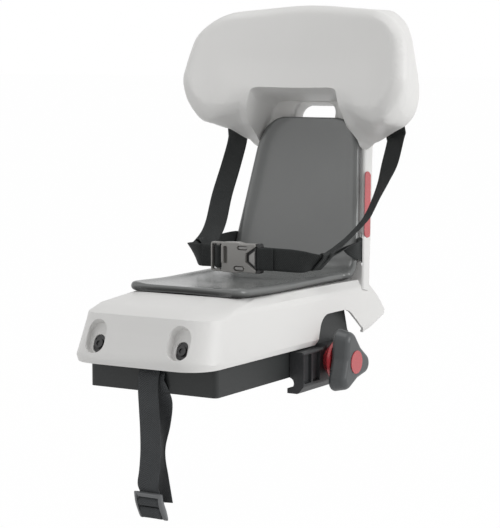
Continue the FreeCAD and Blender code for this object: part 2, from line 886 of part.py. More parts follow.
screw_seat = countersink("screw_seat", "screw_play")
screw_seats = copies("screw_seats", screw_seat, SCREW_PLACES)
keep(boolean("Cut", "base_frame", frame_drilled, screw_seats), "base_frame")
screw_head = countersink("screw_head", "0")
screw_shank = cylinder("screw_shank", "screw_radius", "screw_length - frame_floor",
                       ("0", "0", "frame_floor"))
screw = fuse("screw", screw_head, screw_shank)
keep(copies("frame_screws", screw, SCREW_PLACES), "frame_screws")

# Front bolts, washers and nuts clamp the front pockets to the tabs of the frame.
washer_body = on_face(new_body("front_washers"))
bolt_body = on_face(new_body("front_bolts"))
nut_body = on_face(new_body("front_nuts"))
head_seat = "(recess_depth - washer_thick)"
nut_seat = "(tab_depth + frame_wall)"
bolt_end = f"({nut_seat} + nut_height + frame_wall)"
washers = sketch(washer_body, "front", "recess_depth")
bolt_heads = sketch(bolt_body, "front", head_seat)
bolt_shanks = sketch(bolt_body, "front", bolt_end)
bolt_sockets = sketch(bolt_body, "front", f"{head_seat} - bolt_head_height")
nuts = sketch(nut_body, "front", f"{nut_seat} + nut_height")
for centre in both_sides("pocket_offset"):
    box_outline(
        washers, f"{centre} - recess_half + washer_play", f"{centre} + recess_half - washer_play",
        "recess_drop - recess_rise + washer_play", "recess_drop + recess_rise - washer_play",
        "recess_round - washer_play",
    )
    circle(washers, centre, "recess_drop", "screw_radius + screw_play")
    circle(bolt_heads, centre, "recess_drop", "bolt_head_radius")
    circle(bolt_shanks, centre, "recess_drop", "screw_radius")
    hexagon(bolt_sockets, centre, "recess_drop", "bolt_socket_flats")
    hexagon(nuts, centre, "recess_drop", "nut_flats")
    circle(nuts, centre, "recess_drop", "screw_radius + thread_play")
pad(washer_body, washers, "washer_thick")
pad(bolt_body, bolt_heads, "bolt_head_height")
pad(bolt_body, bolt_shanks, f"{bolt_end} - {head_seat}")
pocket(bolt_body, bolt_sockets, "bolt_head_height / 2")
pad(nut_body, nuts, "nut_height")
keep(washer_body, "front_washers")
keep(bolt_body, "front_bolts")
keep(nut_body, "front_nuts")


# Jaws: ribbed hooks that grip the rack tubes; the right one slides on the clamp bolt, the left one is fixed.
def jaw(label, side):
    body = new_body(label)
    inner = "frame_half_width + jaw_gap"
    profile = sketch(body, "front")
    outline(profile, [
        (f"{side} * ({inner})", "jaw_top", None),
        (f"{side} * jaw_outer", "jaw_top", "jaw_rib"),
        (f"{side} * jaw_outer", "jaw_chamfer_height", "jaw_rib"),
        (f"{side} * jaw_foot_half", "jaw_foot", "jaw_rib"),
        (f"{side} * jaw_tip", "jaw_foot", None),
        (f"{side} * jaw_tip", "jaw_tip_rise", None),
        (f"{side} * ({inner})", "jaw_tip_rise", None),
    ])
    pad(body, profile, "2 * jaw_half_length", both=True)
    windows = sketch(body, "side", f"{side} * jaw_outer")
    pitch = "((jaw_half_length - jaw_hub_radius) / 2)"
    for place in both_sides(f"jaw_hub_radius + {pitch} / 2") + both_sides(f"jaw_hub_radius + 1.5 * {pitch}"):
        box_outline(windows, f"{place} - ({pitch} - jaw_rib) / 2", f"{place} + ({pitch} - jaw_rib) / 2",
                    "jaw_chamfer_height + jaw_rib", "jaw_top - jaw_rib", "1")
    pocket(body, windows, "jaw_recess", flip=side < 0)
    hub = sketch(body, "side", f"{inner} + jaw_rib" if side > 0 else "-jaw_outer")
    circle(hub, "0", "clamp_height", "jaw_hub_radius")
    pad(body, hub, f"jaw_outer - ({inner}) - jaw_rib")
    tube = sketch(body, "front")
    circle(tube, f"{side} * tube_offset", "-tube_radius", "tube_radius")
    pocket(body, tube, both=True)
    bore = sketch(body, "side")
    circle(bore, "0", "clamp_height", "rod_radius + rod_play")
    pocket(body, bore, both=True)
    return body


keep(jaw("moving_jaw", 1), "moving_jaw")
fixed_jaw = jaw("fixed_jaw", -1)
head_face = "-jaw_outer + jaw_gap"
head_room_sketch = sketch(fixed_jaw, "side", "-jaw_outer")
hexagon(head_room_sketch, "0", "clamp_height", "(rod_head_flats + rod_play)")
pocket(fixed_jaw, head_room_sketch, "jaw_gap + rod_head_height", flip=True)
screw_ways = sketch(fixed_jaw, "side")
for place in both_sides("jaw_screw_offset"):
    circle(screw_ways, place, "clamp_height", "screw_radius + screw_play")
pocket(fixed_jaw, screw_ways, both=True)
keep(fixed_jaw, "fixed_jaw")

jaw_screws = new_body("fixed_jaw_screws")
screw_floor = "-(jaw_outer - jaw_recess)"
jaw_heads = sketch(jaw_screws, "side", f"{screw_floor} - jaw_recess + jaw_gap")
jaw_shanks = sketch(jaw_screws, "side", screw_floor)
for place in both_sides("jaw_screw_offset"):
    circle(jaw_heads, place, "clamp_height", "bolt_head_radius")
    circle(jaw_shanks, place, "clamp_height", "screw_radius")
pad(jaw_screws, jaw_heads, "jaw_recess - jaw_gap")
pad(jaw_screws, jaw_shanks, "jaw_outer - jaw_recess - frame_half_width + frame_bend")
keep(jaw_screws, "fixed_jaw_screws")

# Clamp bolt: its hex head sits in the fixed jaw, its end in the nut of the hand knob.
rod_body = new_body("clamp_bolt")
rod_head = sketch(rod_body, "side", head_face)
hexagon(rod_head, "0", "clamp_height", "rod_head_flats")
pad(rod_body, rod_head, "rod_head_height")
rod = sketch(rod_body, "side", head_face)
circle(rod, "0", "clamp_height", "rod_radius")
pad(rod_body, rod, f"rod_end - ({head_face})")
keep(rod_body, "clamp_bolt")

# Thrust flange: a red cone widening to a thin rim, snapped to the sliding jaw; the knob bears on it.
flange_cone = primitive(
    "Cone", "flange_cone",
    {"Radius1": "flange_hub_radius", "Radius2": "flange_radius", "Height": "flange_hub"},
    ("jaw_outer", "0", "clamp_height"), AXIS_X,
)
flange_rim = cylinder("flange_rim", "flange_radius", "flange_thick",
                      ("jaw_outer + flange_hub", "0", "clamp_height"), AXIS_X)
flange_bore = cylinder("flange_bore", "rod_radius + rod_play", "2 * (flange_hub + flange_thick)",
                       ("jaw_outer - flange_thick", "0", "clamp_height"), AXIS_X)
flange_whole = fuse("flange_whole", flange_cone, flange_rim)
keep(boolean("Cut", "thrust_flange", flange_whole, flange_bore), "thrust_flange")

# Hand knob: three lobes, a hex nut moulded in and a red cap let into its face.
knob_start = "(jaw_outer + flange_hub + flange_thick + knob_gap)"
knob_face = f"({knob_start} + knob_length)"
knob = new_body("clamp_knob")
lobes = sketch(knob, "side", knob_start)
lobe_corners = []
for lobe in range(3):
    for reach, turn, radius in (("knob_lobe", 0, "knob_lobe_round"), ("knob_waist", 60, "knob_waist_round")):
        angle = f"(knob_first_lobe + {120 * lobe + turn})"
        lobe_corners.append((f"{reach} * cos({angle})", f"clamp_height + {reach} * sin({angle})", radius))
outline(lobes, lobe_corners)
pad(knob, lobes, "knob_length")
knob_ends = [number(knob_start), number(knob_face)]
round_edges(
    knob, "knob_edge_round",
    lambda edge: any(near(edge.BoundBox.XMin, end) and near(edge.BoundBox.XMax, end) for end in knob_ends),
)
cap_seat = sketch(knob, "side", knob_face)
circle(cap_seat, "0", "clamp_height", "cap_radius")
pocket(knob, cap_seat, "cap_thick - cap_proud")
knob_bore = sketch(knob, "side", knob_face)
circle(knob_bore, "0", "clamp_height", "rod_radius + rod_play")
pocket(knob, knob_bore)
insert_end = f"{knob_start} + insert_start + insert_length"
insert_seat = sketch(knob, "side", insert_end)
hexagon(insert_seat, "0", "clamp_height", "insert_flats")
pocket(knob, insert_seat, "insert_length")
keep(knob, "clamp_knob")

insert = new_body("knob_nut")
insert_ring = sketch(insert, "side", f"{knob_start} + insert_start")
hexagon(insert_ring, "0", "clamp_height", "insert_flats")
circle(insert_ring, "0", "clamp_height", "rod_radius + thread_play")
pad(insert, insert_ring, "insert_length")
keep(insert, "knob_nut")

keep(cylinder("knob_cap", "cap_radius", "cap_thick",
              (f"{knob_face} - cap_thick + cap_proud", "0", "clamp_height"), AXIS_X), "knob_cap")


# Side-release buckle: the socket carries an adjuster plate, the plug a bar; each holds half of the lap belt.
def at_buckle(body):
    for key in "xyz":
        body.setExpression(f"Placement.Base.{key}", ex(f"buckle_{key}"))
    doc.recompute()
    return body


def upright_box(body, x0, x1, z0, z1, half_thick, radius=None):
    face = sketch(body, "front")
    box_outline(face, x0, x1, z0, z1, radius)
    return pad(body, face, f"2 * {half_thick}", both=True)


slot_half = "(web_width / 2 + socket_skin / 4)"
socket = at_buckle(new_body("buckle_socket"))
upright_box(socket, "socket_neck", "buckle_throat", "-buckle_half_width", "buckle_half_width",
            "buckle_half_thick", "socket_skin")
upright_box(socket, "socket_end", "socket_neck + 1", "-buckle_half_width + 1", "buckle_half_width - 1",
            "buckle_bar_half", "socket_skin")
bar_slots = sketch(socket, "front", "-buckle_half_thick")
for step in range(2):
    slot_start = f"socket_end + buckle_rail + {step} * (buckle_slot + buckle_bar)"
    box_outline(bar_slots, slot_start, f"{slot_start} + buckle_slot", f"-{slot_half}", slot_half)
pocket(socket, bar_slots, "2 * buckle_half_thick")
throat = sketch(socket, "side", "buckle_throat")
box_outline(throat, "-prong_half_thick - plug_gap", "prong_half_thick + plug_gap",
            f"-{slot_half}", slot_half)
pocket(socket, throat, "buckle_throat - prong_tip + 2")
side_windows = sketch(socket, "top")
box_outline(side_windows, "prong_tip - 1", "prong_head + 1", "-prong_half_thick - plug_gap",
            "prong_half_thick + plug_gap")
pocket(socket, side_windows, "4 * buckle_half_width", both=True)
keep(socket, "buckle_socket")

plug = at_buckle(new_body("buckle_plug"))
plug_neck = "plug_end - 2 * buckle_bar"
upright_box(plug, "buckle_throat + plug_gap", plug_neck, "-buckle_half_width", "buckle_half_width",
            "buckle_half_thick", "socket_skin")
upright_box(plug, f"{plug_neck} - 2", "plug_end", "-buckle_half_width + 0.5", "buckle_half_width - 0.5",
            "buckle_bar_half", "socket_skin")
plug_slot = sketch(plug, "front", "-buckle_half_thick")
box_outline(plug_slot, plug_neck, "plug_end - buckle_bar", f"-{slot_half}", slot_half)
pocket(plug, plug_slot, "2 * buckle_half_thick")
upright_box(plug, "prong_tip + 1", "buckle_throat + 1", "-tongue_half", "tongue_half", "prong_half_thick")
for side in (1, -1):
    for x1, reach in (("buckle_throat + 1", "prong_outer"), ("prong_head", "buckle_half_width")):
        edges = ["prong_inner", reach] if side > 0 else [f"-{reach}", "-prong_inner"]
        upright_box(plug, "prong_tip", x1, *edges, "prong_half_thick")
keep(plug, "buckle_plug")


# Webbing: flat strips joined straight between stations, each a centre point and the direction of its width.
def webbing(label, stations):
    width, thick = number("web_width"), number("web_thick")
    points = [point for point, _ in stations]
    sections = []
    for i, (point, across) in enumerate(stations):
        along = points[min(i + 1, len(points) - 1)] - points[max(i - 1, 0)]
        side = Vector(across).normalize() * (width / 2)
        face = along.cross(side).normalize() * (thick / 2)
        corners = [point + side + face, point - side + face, point - side - face, point + side - face]
        sections.append(Part.makePolygon(corners + corners[:1]))
    return shaped(label, Part.makeLoft(sections, True, True))


BUCKLE = Vector(number("buckle_x"), number("buckle_y"), number("buckle_z"))
SLOT_LEVEL = 35
SLOT_HALF = number(f"{column_half(str(SLOT_LEVEL))} - wall - belt_slot_width / 2")
PIN = Vector(number("belt_pin_offset"), number("belt_pin_depth"), SLOT_LEVEL)
PIN_WRAP = 5.2


def lap_belt(label, side, loop, sweep):
    """Loop round the buckle bar, the free run past the hip, then through the shell slot round the pin."""
    stations = [(BUCKLE + Vector(x, y, 0), AXIS_Z) for x, y in loop]
    stations += [(Vector(side * x, y, z), AXIS_Z) for x, y, z in sweep]
    tilt = BACK.Rotation.multVec(Vector(-side * math.tan(side_slope), 0, 1))
    run = [(SLOT_HALF, -8), (SLOT_HALF, 0), (SLOT_HALF, 6), (SLOT_HALF - 1.6, 11)]
    run += [(PIN.x + PIN_WRAP * math.cos(turn), PIN.y + PIN_WRAP * math.sin(turn))
            for turn in (math.radians(step) for step in range(65, 290, 45))]
    run.append((PIN.x + PIN_WRAP, PIN.y - PIN_WRAP))
    stations += [(on_back(side * u, v, SLOT_LEVEL), tilt) for u, v in run]
    return webbing(label, stations)


RIGHT_LOOP = [(46, -0.9), (38, -2.2), (33.5, -3.3), (29.8, -3.6), (26.8, -2.6), (26, 0), (26.8, 2.6),
              (29.8, 3.6), (33.5, 3.3), (38, 2.2), (46, 0.9)]
LEFT_LOOP = [(-46, -0.9), (-38, -2.4), (-32, -3.4), (-25, -3.5), (-20.2, -3), (-19.4, 0), (-20.2, 3),
             (-25, 3.5), (-32, 3.4), (-38, 2.4), (-46, 0.9)]
HIP_RIGHT = [(54, -9, 119.6), (66, -4.5, 119.4), (75, 3, 119.4), (80.5, 13, 119.6), (83, 27, 120.4),
             (83.6, 50, 121.8), (82.6, 74, 123)]
HIP_LEFT = [(68, -8, 119.6), (76.5, -1, 119.4), (81.5, 10, 119.6), (83.6, 25, 120.4),
            (84, 50, 121.8), (82.8, 74, 123)]
keep(lap_belt("lap_belt_right", 1, RIGHT_LOOP, HIP_RIGHT), "lap_belt_right")
keep(lap_belt("lap_belt_left", -1, LEFT_LOOP, HIP_LEFT), "lap_belt_left")

belt_pin = cylinder("belt_pin", "belt_pin_radius", "belt_pin_high - belt_pin_low",
                    ("0", "0", "belt_pin_low"))
belt_pins = copies("belt_pins", belt_pin,
                   [(x, "belt_pin_depth", "0") for x in both_sides("belt_pin_offset")])
belt_pins.Placement = BACK
keep(belt_pins, "belt_pins")

shoulder_pin = cylinder(
    "shoulder_pin", "shoulder_pin_radius", "wing_rib_out - wing_rib_in + 4 * rib",
    ("wing_rib_in - 2 * rib", "shoulder_pin_depth", "shoulder_pin_level"), AXIS_X,
)
shoulder_pins = copies("shoulder_pins", shoulder_pin, [
    ("0", "0", "0"), ("-(wing_rib_in + wing_rib_out)", "0", "0")])
shoulder_pins.Placement = BACK
keep(shoulder_pins, "shoulder_pins")


def flat_turn(turn):
    return Vector(math.cos(math.radians(turn)), math.sin(math.radians(turn)), 0)


STRAP_HOOK = [(-30.8, 187), (-30.2, 196), (-29, 199), (-26, 200.3), (-23, 199), (-21.8, 196),
              (-20.6, 187), (-13, 183), (-4, 177), (1.5, 168), (3, 158)]
STRAP_RING = [(4.4, 17), (3.7, 10), (3.7, -9), (2.4, -13.6), (0, -15), (-2.4, -13.6), (-3.7, -9), (-3.7, 12)]


def shoulder_strap(label, side, fall, ring, along):
    """Round the pin behind the headrest, over the rim and down to a loop round the lap belt."""
    offset = number("shoulder_offset")
    stations = [(on_back(side * offset, v, w), AXIS_X) for v, w in STRAP_HOOK]
    stations += [(Vector(side * x, y, z), flat_turn(turn)) for x, y, z, turn in fall]
    out = along.cross(AXIS_Z)
    if out.x * side < 0:
        out = out * -1
    stations += [(ring + out * shift + AXIS_Z * rise, along) for shift, rise in STRAP_RING]
    return webbing(label, stations)


RIGHT_FALL = [(103, 126, 234, -12), (101, 109, 205, -27), (98.5, 95, 181, -43), (95.5, 79, 158, -58),
              (92.5, 58, 143, -80), (88.5, 35, 137.5, -105)]
LEFT_FALL = [(103, 128, 229, 8), (101, 116, 206, 20), (98, 97, 181, 30), (95, 77, 160, 30),
             (93, 64, 148, 10), (90.5, 52, 141, -35)]
RIGHT_RING = (Vector(79.4, 13, 119.6), Vector(-0.35, -0.937, 0))
LEFT_RING = (Vector(-83.8, 38, 121), Vector(0, -1, 0))
keep(shoulder_strap("shoulder_strap_right", 1, RIGHT_FALL, *RIGHT_RING), "shoulder_strap_right")
keep(shoulder_strap("shoulder_strap_left", -1, LEFT_FALL, *LEFT_RING), "shoulder_strap_left")

# Safety strap: one webbing doubled round a bar in the frame's front, with a ladder lock on its front ply.
strap_level = "(strap_slot_low + strap_slot_high) / 2"
keep(cylinder("strap_bar", "strap_bar_radius", "2 * strap_bar_half",
              ("-strap_bar_half", "strap_bar_y", strap_level), AXIS_X), "strap_bar")
HANG = number("strap_hang")
BAR_Y = number("strap_bar_y")
BAR_Z = number(strap_level)
LOCK_TOP = number("lock_top")
FRONT_PLY = [(2.3, 18), (3.4, 8), (3.9, -2), (2.6, -6.2), (0, -7.2), (-2.6, -6.2), (-3.9, -2), (-3.4, 8),
             (-0.4, 20)]
BAR_WRAP = [(HANG - BAR_Y, -20), (-13.6, -6), (-11, 0), (-7, 1.6), (-3, 3.2), (0, 3.7), (3, 2.4), (3.8, 0),
            (3, -2.4), (0, -3.7), (-3, -3.2), (-7, -1.6), (-9.6, -5), (-10, -12)]
TAIL = [(4, -9.8, -2, 0), (9.5, -7, -22, -15), (13.5, -2.5, -44, -40), (15.5, 1, -66, -58),
        (15.5, -1, -88, -40), (15.5, -4, -116, -20)]
strap_stations = [(Vector(0, HANG + y, LOCK_TOP + z), AXIS_X) for y, z in FRONT_PLY]
strap_stations += [(Vector(0, BAR_Y + y, BAR_Z + z), AXIS_X) for y, z in BAR_WRAP]
strap_stations += [(Vector(x, BAR_Y + y, z), flat_turn(turn)) for x, y, z, turn in TAIL]
keep(webbing("safety_strap", strap_stations), "safety_strap")

lock = new_body("strap_lock")
lock_face = sketch(lock, "front", "strap_hang")
box_outline(lock_face, "-lock_half_width", "lock_half_width", "lock_bottom", "lock_top", "lock_side")
pad(lock, lock_face, "2 * lock_half_thick", both=True)
lock_slots = sketch(lock, "front", "strap_hang - lock_half_thick")
lock_inner = "(lock_half_width - lock_side)"
for step in range(3):
    top = f"lock_top - lock_bar - {step} * (lock_bar + lock_slot)"
    box_outline(lock_slots, f"-{lock_inner}", lock_inner, f"{top} - lock_slot", top)
pocket(lock, lock_slots, "2 * lock_half_thick")
bar_relief = sketch(lock, "side")
for face in ("strap_hang + lock_half_thick", "strap_hang - lock_half_thick"):
    box_outline(bar_relief, f"{face} - lock_half_thick / 2", f"{face} + lock_half_thick / 2",
                "lock_top - lock_bar - lock_slot", "lock_top + 1")
pocket(lock, bar_relief, f"2 * {lock_inner}", both=True)
keep(lock, "strap_lock")

doc.recompute()
broken = [item.Name for item in doc.Objects if "Invalid" in item.State or "Error" in item.State]
broken += [item.Label for item in PARTS if item.Shape.isNull() or not item.Shape.isValid()]
broken += [item.Label for item in PARTS if not item.Shape.Solids]
if broken:
    raise RuntimeError(f"not built: {broken}")
os.makedirs("parts", exist_ok=True)
for item in PARTS:
    item.Shape.exportStep(f"parts/{item.Label}.step")
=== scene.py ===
import math
import bmesh
import bpy
from mathutils import Matrix, Vector


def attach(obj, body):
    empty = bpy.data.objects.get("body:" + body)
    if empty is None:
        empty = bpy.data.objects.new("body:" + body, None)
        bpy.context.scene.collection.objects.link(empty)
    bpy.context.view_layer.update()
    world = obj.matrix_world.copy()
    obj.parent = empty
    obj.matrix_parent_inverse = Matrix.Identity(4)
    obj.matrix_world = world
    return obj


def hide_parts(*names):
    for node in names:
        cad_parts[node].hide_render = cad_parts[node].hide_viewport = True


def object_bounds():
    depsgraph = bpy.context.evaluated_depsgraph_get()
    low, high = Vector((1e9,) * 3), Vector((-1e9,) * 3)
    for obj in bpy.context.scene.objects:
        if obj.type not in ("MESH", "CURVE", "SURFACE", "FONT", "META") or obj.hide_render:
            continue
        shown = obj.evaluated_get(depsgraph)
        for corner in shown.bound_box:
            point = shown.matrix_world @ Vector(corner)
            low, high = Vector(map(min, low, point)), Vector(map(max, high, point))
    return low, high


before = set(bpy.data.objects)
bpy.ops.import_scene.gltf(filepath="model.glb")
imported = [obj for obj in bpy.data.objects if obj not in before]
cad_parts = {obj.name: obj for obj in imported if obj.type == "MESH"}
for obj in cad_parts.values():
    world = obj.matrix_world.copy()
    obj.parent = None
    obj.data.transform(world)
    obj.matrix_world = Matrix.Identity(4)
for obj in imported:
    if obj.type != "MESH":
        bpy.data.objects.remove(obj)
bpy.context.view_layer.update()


# Mounting frame: pressed steel tray with folded tabs that carries the seat on the cycle rack.
# Welded and powder coated, so it has a fine orange-peel skin and a satin sheen.
class Value:
    """A shader socket that plain arithmetic works on."""

    def __init__(self, nodes, socket):
        self.nodes, self.socket = nodes, socket

    def result(self, operation, first, second=0.0):
        return self.nodes.node("ShaderNodeMath", {"operation": operation}, {0: first, 1: second})

    def __add__(self, other):
        return self.result("ADD", self, other)

    def __sub__(self, other):
        return self.result("SUBTRACT", self, other)

    def __rsub__(self, other):
        return self.result("SUBTRACT", other, self)

    def __mul__(self, other):
        return self.result("MULTIPLY", self, other)

    __radd__ = __add__
    __rmul__ = __mul__

    def wave(self):
        return self.result("SINE", self)

    def size(self):
        return self.result("ABSOLUTE", self)

    def most(self, other):
        return self.result("MAXIMUM", self, other)

    def between(self, low, high):
        return self.nodes.node("ShaderNodeMapRange", {"interpolation_type": "SMOOTHSTEP"},
                               {"Value": self, "From Min": low, "From Max": high})


class Nodes:
    """A node tree, and the one way to add a node to it."""

    def __init__(self, tree):
        self.tree = tree

    def feed(self, socket, value):
        if isinstance(value, Value):
            self.tree.links.new(value.socket, socket)
        else:
            socket.default_value = value

    def node(self, kind, settings={}, sockets={}, out=0):
        made = self.tree.nodes.new(kind)
        for key, value in settings.items():
            setattr(made, key, value)
        for key, value in sockets.items():
            self.feed(made.inputs[key], value)
        return Value(self, made.outputs[out])


class Finish(Nodes):
    """One surface finish: a Principled shader and the nodes that feed it."""

    def __init__(self, name, **sockets):
        self.material = bpy.data.materials.new(name)
        self.material.use_nodes = True
        super().__init__(self.material.node_tree)
        self.shader = self.tree.nodes["Principled BSDF"]
        self.set(**sockets)

    def set(self, **sockets):
        for key, value in sockets.items():
            self.feed(self.shader.inputs[key.replace("_", " ")], value)

    def place(self):
        return self.node("ShaderNodeTexCoord", out="Object")

    def attribute(self, name):
        return self.node("ShaderNodeAttribute", {"attribute_name": name}, out="Fac")

    def noise(self, scale, detail=2.0, stretch=(1, 1, 1)):
        spot = self.node("ShaderNodeMapping", {}, {"Vector": self.place(), "Scale": stretch})
        return self.node("ShaderNodeTexNoise", {}, {"Vector": spot, "Scale": scale, "Detail": detail})

    def mix(self, share, first, second):
        return self.node("ShaderNodeMix", {"data_type": "RGBA"}, {0: share, 6: first, 7: second}, out=2)

    def bump(self, height, depth):
        self.set(Normal=self.node("ShaderNodeBump", {},
                                  {"Height": height, "Distance": depth, "Strength": 1.0}))


def shade(colour, share):
    """A colour made lighter or darker."""
    return tuple(min(1.0, part * share) for part in colour) + (1.0,)


def moulded(name, colour, roughness, grain, depth, drift):
    """Moulded or coated skin: spark-eroded grain, a slow drift of tone and faint rub marks."""
    finish = Finish(name)
    slow = finish.noise(9.0, 3.0)
    fine = finish.noise(grain, 2.0)
    rubbed = finish.noise(60.0, 4.0, (1, 1, 0.25)).between(0.58, 0.8)
    tone = finish.mix(slow * 0.7 + fine * 0.3, shade(colour, 1 - drift), shade(colour, 1 + drift))
    finish.set(Base_Color=tone, Roughness=roughness + (fine - 0.5) * 0.12 - rubbed * 0.05)
    finish.bump(fine + slow * 0.3, depth)
    return finish


def dress(finish, *names):
    """Gives carried-over CAD nodes a finish in every material slot."""
    for name in names:
        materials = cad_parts[name].data.materials
        materials.clear()
        materials.append(finish.material)


powder_coat = moulded("powder_coat", (0.019, 0.021, 0.021), 0.5, 900, 0.00012, 0.1)
powder_coat.set(Specular_IOR_Level=0.35, Coat_Weight=0.08, Coat_Roughness=0.35)
dress(powder_coat, "base_frame")


# Rack jaws, long bolt, thrust flange and tri-lobe knob: turning the knob draws the moving jaw in.
# Glass-filled nylon jaws with ribs, zinc-plated bolt, gloss red flange and cap, soft-touch knob.
MM = 0.001
SAME_POINT = 0.002 * MM
KNOB_AXIS, KNOB_DRAW, KNOB_DOME = 13.5 * MM, 0.13, 1.6


def merged(node):
    """A copy of a CAD node's mesh, with the corners that its faces share made one."""
    mesh = bmesh.new()
    mesh.from_mesh(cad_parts[node].data)
    bmesh.ops.remove_doubles(mesh, verts=mesh.verts, dist=SAME_POINT)
    return mesh


def sharp_by(mesh, angle):
    """Shades a mesh smooth, except where its faces meet at more than the angle."""
    for face in mesh.faces:
        face.smooth = True
    for edge in mesh.edges:
        edge.smooth = len(edge.link_faces) == 2 and edge.calc_face_angle() < math.radians(angle)
    return mesh


def finished(mesh, name, body, *nodes):
    """A bmesh made into a named piece that rides on a body and stands for the CAD nodes."""
    data = bpy.data.meshes.new(name)
    mesh.to_mesh(data)
    mesh.free()
    piece = bpy.data.objects.new(name, data)
    bpy.context.scene.collection.objects.link(piece)
    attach(piece, body)
    if nodes:
        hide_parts(*nodes)
    return piece


def coat(piece, finish):
    """Gives a piece its finish, as its only material."""
    piece.data.materials.clear()
    piece.data.materials.append(finish.material)
    return piece


def even_shading(piece):
    """Normals weighted by face area, so that flats look flat beside their rounds."""
    weighted = piece.modifiers.new("even_shading", "WEIGHTED_NORMAL")
    weighted.keep_sharp = True


def dome_knob(mesh):
    """Draws the knob's lobes in towards its outer face, as the real one is domed."""
    inner = min(vert.co.x for vert in mesh.verts)
    deep = max(vert.co.x for vert in mesh.verts) - inner
    for vert in mesh.verts:
        draw = 1 - KNOB_DRAW * ((vert.co.x - inner) / deep) ** KNOB_DOME
        vert.co.y *= draw
        vert.co.z = KNOB_AXIS + (vert.co.z - KNOB_AXIS) * draw
    return mesh


jaw_nylon = moulded("jaw_nylon", (0.026, 0.027, 0.029), 0.52, 700, 0.0002, 0.14)
dress(jaw_nylon, "moving_jaw", "fixed_jaw")

red_gloss = moulded("red_gloss", (0.47, 0.040, 0.050), 0.26, 1500, 0.00002, 0.05)
red_gloss.set(Coat_Weight=0.4, Coat_Roughness=0.12)
soft_touch = moulded("soft_touch", (0.066, 0.070, 0.073), 0.40, 1200, 0.00006, 0.08)

knob = finished(dome_knob(sharp_by(merged("clamp_knob"), 40)), "tri_lobe_knob", "knob", "clamp_knob")
even_shading(coat(knob, soft_touch))
flange = finished(sharp_by(merged("thrust_flange"), 35), "red_flange", "jaw", "thrust_flange")
even_shading(coat(flange, red_gloss))
cap = finished(sharp_by(merged("knob_cap"), 35), "red_cap", "knob", "knob_cap")
even_shading(coat(cap, red_gloss))

zinc = Finish("zinc_plate", Metallic=1.0)
spangle = zinc.noise(420.0, 3.0)
brushed = zinc.noise(160.0, 2.0, (0.1, 1, 1))
zinc.set(Base_Color=zinc.mix(spangle, (0.42, 0.42, 0.43, 1), (0.60, 0.60, 0.58, 1)),
         Roughness=0.30 + brushed * 0.16)
zinc.bump(brushed + spangle, 0.00004)
dress(zinc, "clamp_bolt", "knob_nut", "fixed_jaw_screws", "frame_screws", "strap_bar",
      "belt_pins", "shoulder_pins")


# Seat shell: one large injection moulding, base, column and headrest, off-white and satin.
# Thin walled with drafted sides and a tail that is open below. The hand hole goes through the column's top,
# and the two pockets in the front face take the bolts.
CUT_POINT = 0.01 * MM
LEAN = math.radians(14)
BACK_FOOT, DECK = 93.0, 90.0
BACK_UP = Vector((0, math.sin(LEAN), math.cos(LEAN)))
BACK_IN = Vector((0, math.cos(LEAN), -math.sin(LEAN)))
HEAD_FOOT, HEAD_HALF, HEAD_EDGE = 152, 132, 9
REAR_FROM, REAR_EDGE = 8, 14
TAIL_FLOOR, TAIL_ENDS = [(-83.5, 20), (83.5, 20), (83.5, 46.5), (-83.5, 46.5)], (88, 148)
NOTCH_HALF, NOTCH_LEVELS, NOTCH_DEPTHS = 66, (166, 200), (-50, 3)
CROWN_EDGE, CROWN_MIDDLE, CROWN_HALF, CROWN_RUN = 2, 2.5, 80, (60, 150)


def on_back(across, depth, level):
    """A point of the leaning back, in the frame of its front face."""
    return Vector((across, BACK_FOOT + depth * math.cos(LEAN) + level * math.sin(LEAN),
                   DECK - depth * math.sin(LEAN) + level * math.cos(LEAN)))


def back_place(point):
    """Where a point of a mesh lies in that frame: across, depth and level."""
    shift = point / MM - on_back(0, 0, 0)
    return shift.x, shift.dot(BACK_IN), shift.dot(BACK_UP)


def ease(value, low, high):
    """Rises smoothly from 0 at low to 1 at high."""
    share = min(1.0, max(0.0, (value - low) / (high - low)))
    return share * share * (3 - 2 * share)


def fade(value, low, high):
    """Falls smoothly from 1 at low to 0 at high."""
    return 1 - ease(value, low, high)


def refine(mesh, longest, rounds, wanted):
    """Halves the edges over a length, round by round, where an end's place in the back's frame is wanted."""
    for step in range(rounds):
        bmesh.ops.subdivide_edges(mesh, cuts=1, edges=[
            edge for edge in mesh.edges
            if edge.calc_length() > longest * MM
            and any(wanted(*back_place(vert.co)) for vert in edge.verts)])
        bmesh.ops.triangulate(mesh, faces=[face for face in mesh.faces if len(face.verts) > 4])


def ease_head(mesh):
    """Gives the headrest its real outline: narrower top, crowned crest, full lower wings and a crease."""
    refine(mesh, HEAD_EDGE, 5, lambda across, depth, level: level > HEAD_FOOT)
    for vert in mesh.verts:
        across, depth, level = back_place(vert.co)
        if level < HEAD_FOOT:
            continue
        wide = abs(across)
        rear = ease(depth, -62, -30)
        rear_corner = 8.5 * ease(level, 210, 290)
        front_corner = 4 * ease(level, 240, 300) - 4 * ease(level, 188, 225) * fade(level, 262, 292)
        narrow = rear * rear_corner + (1 - rear) * front_corner
        crest = 3 * ease(level, 285, 310) * fade(wide, 85, 115)
        wing = 12 * ease(wide, 68, 106) * ease(depth, -74, -56) * fade(depth, -40, -4) * fade(level, 192, 226)
        cheek = 3 * ease(wide, 55, 66) * fade(wide, 76, 92) * fade(level, 156, 178)
        lip = 8 * fade(wide, 60, 88) - 5 * ease(wide, 90, 112) * fade(wide, 118, 136)
        lip *= fade(depth, -52, -34) * fade(level, 192, 214) * ease(level, HEAD_FOOT, 166)
        crease = 4 * ease(level, 174, 196) * fade(level, 199, 245)
        crease *= fade(depth, -46, -26) * fade(wide, 84, 112)
        vert.co = on_back(across * (1 - narrow / HEAD_HALF), depth - crease,
                          level + crest - wing + cheek + lip) * MM


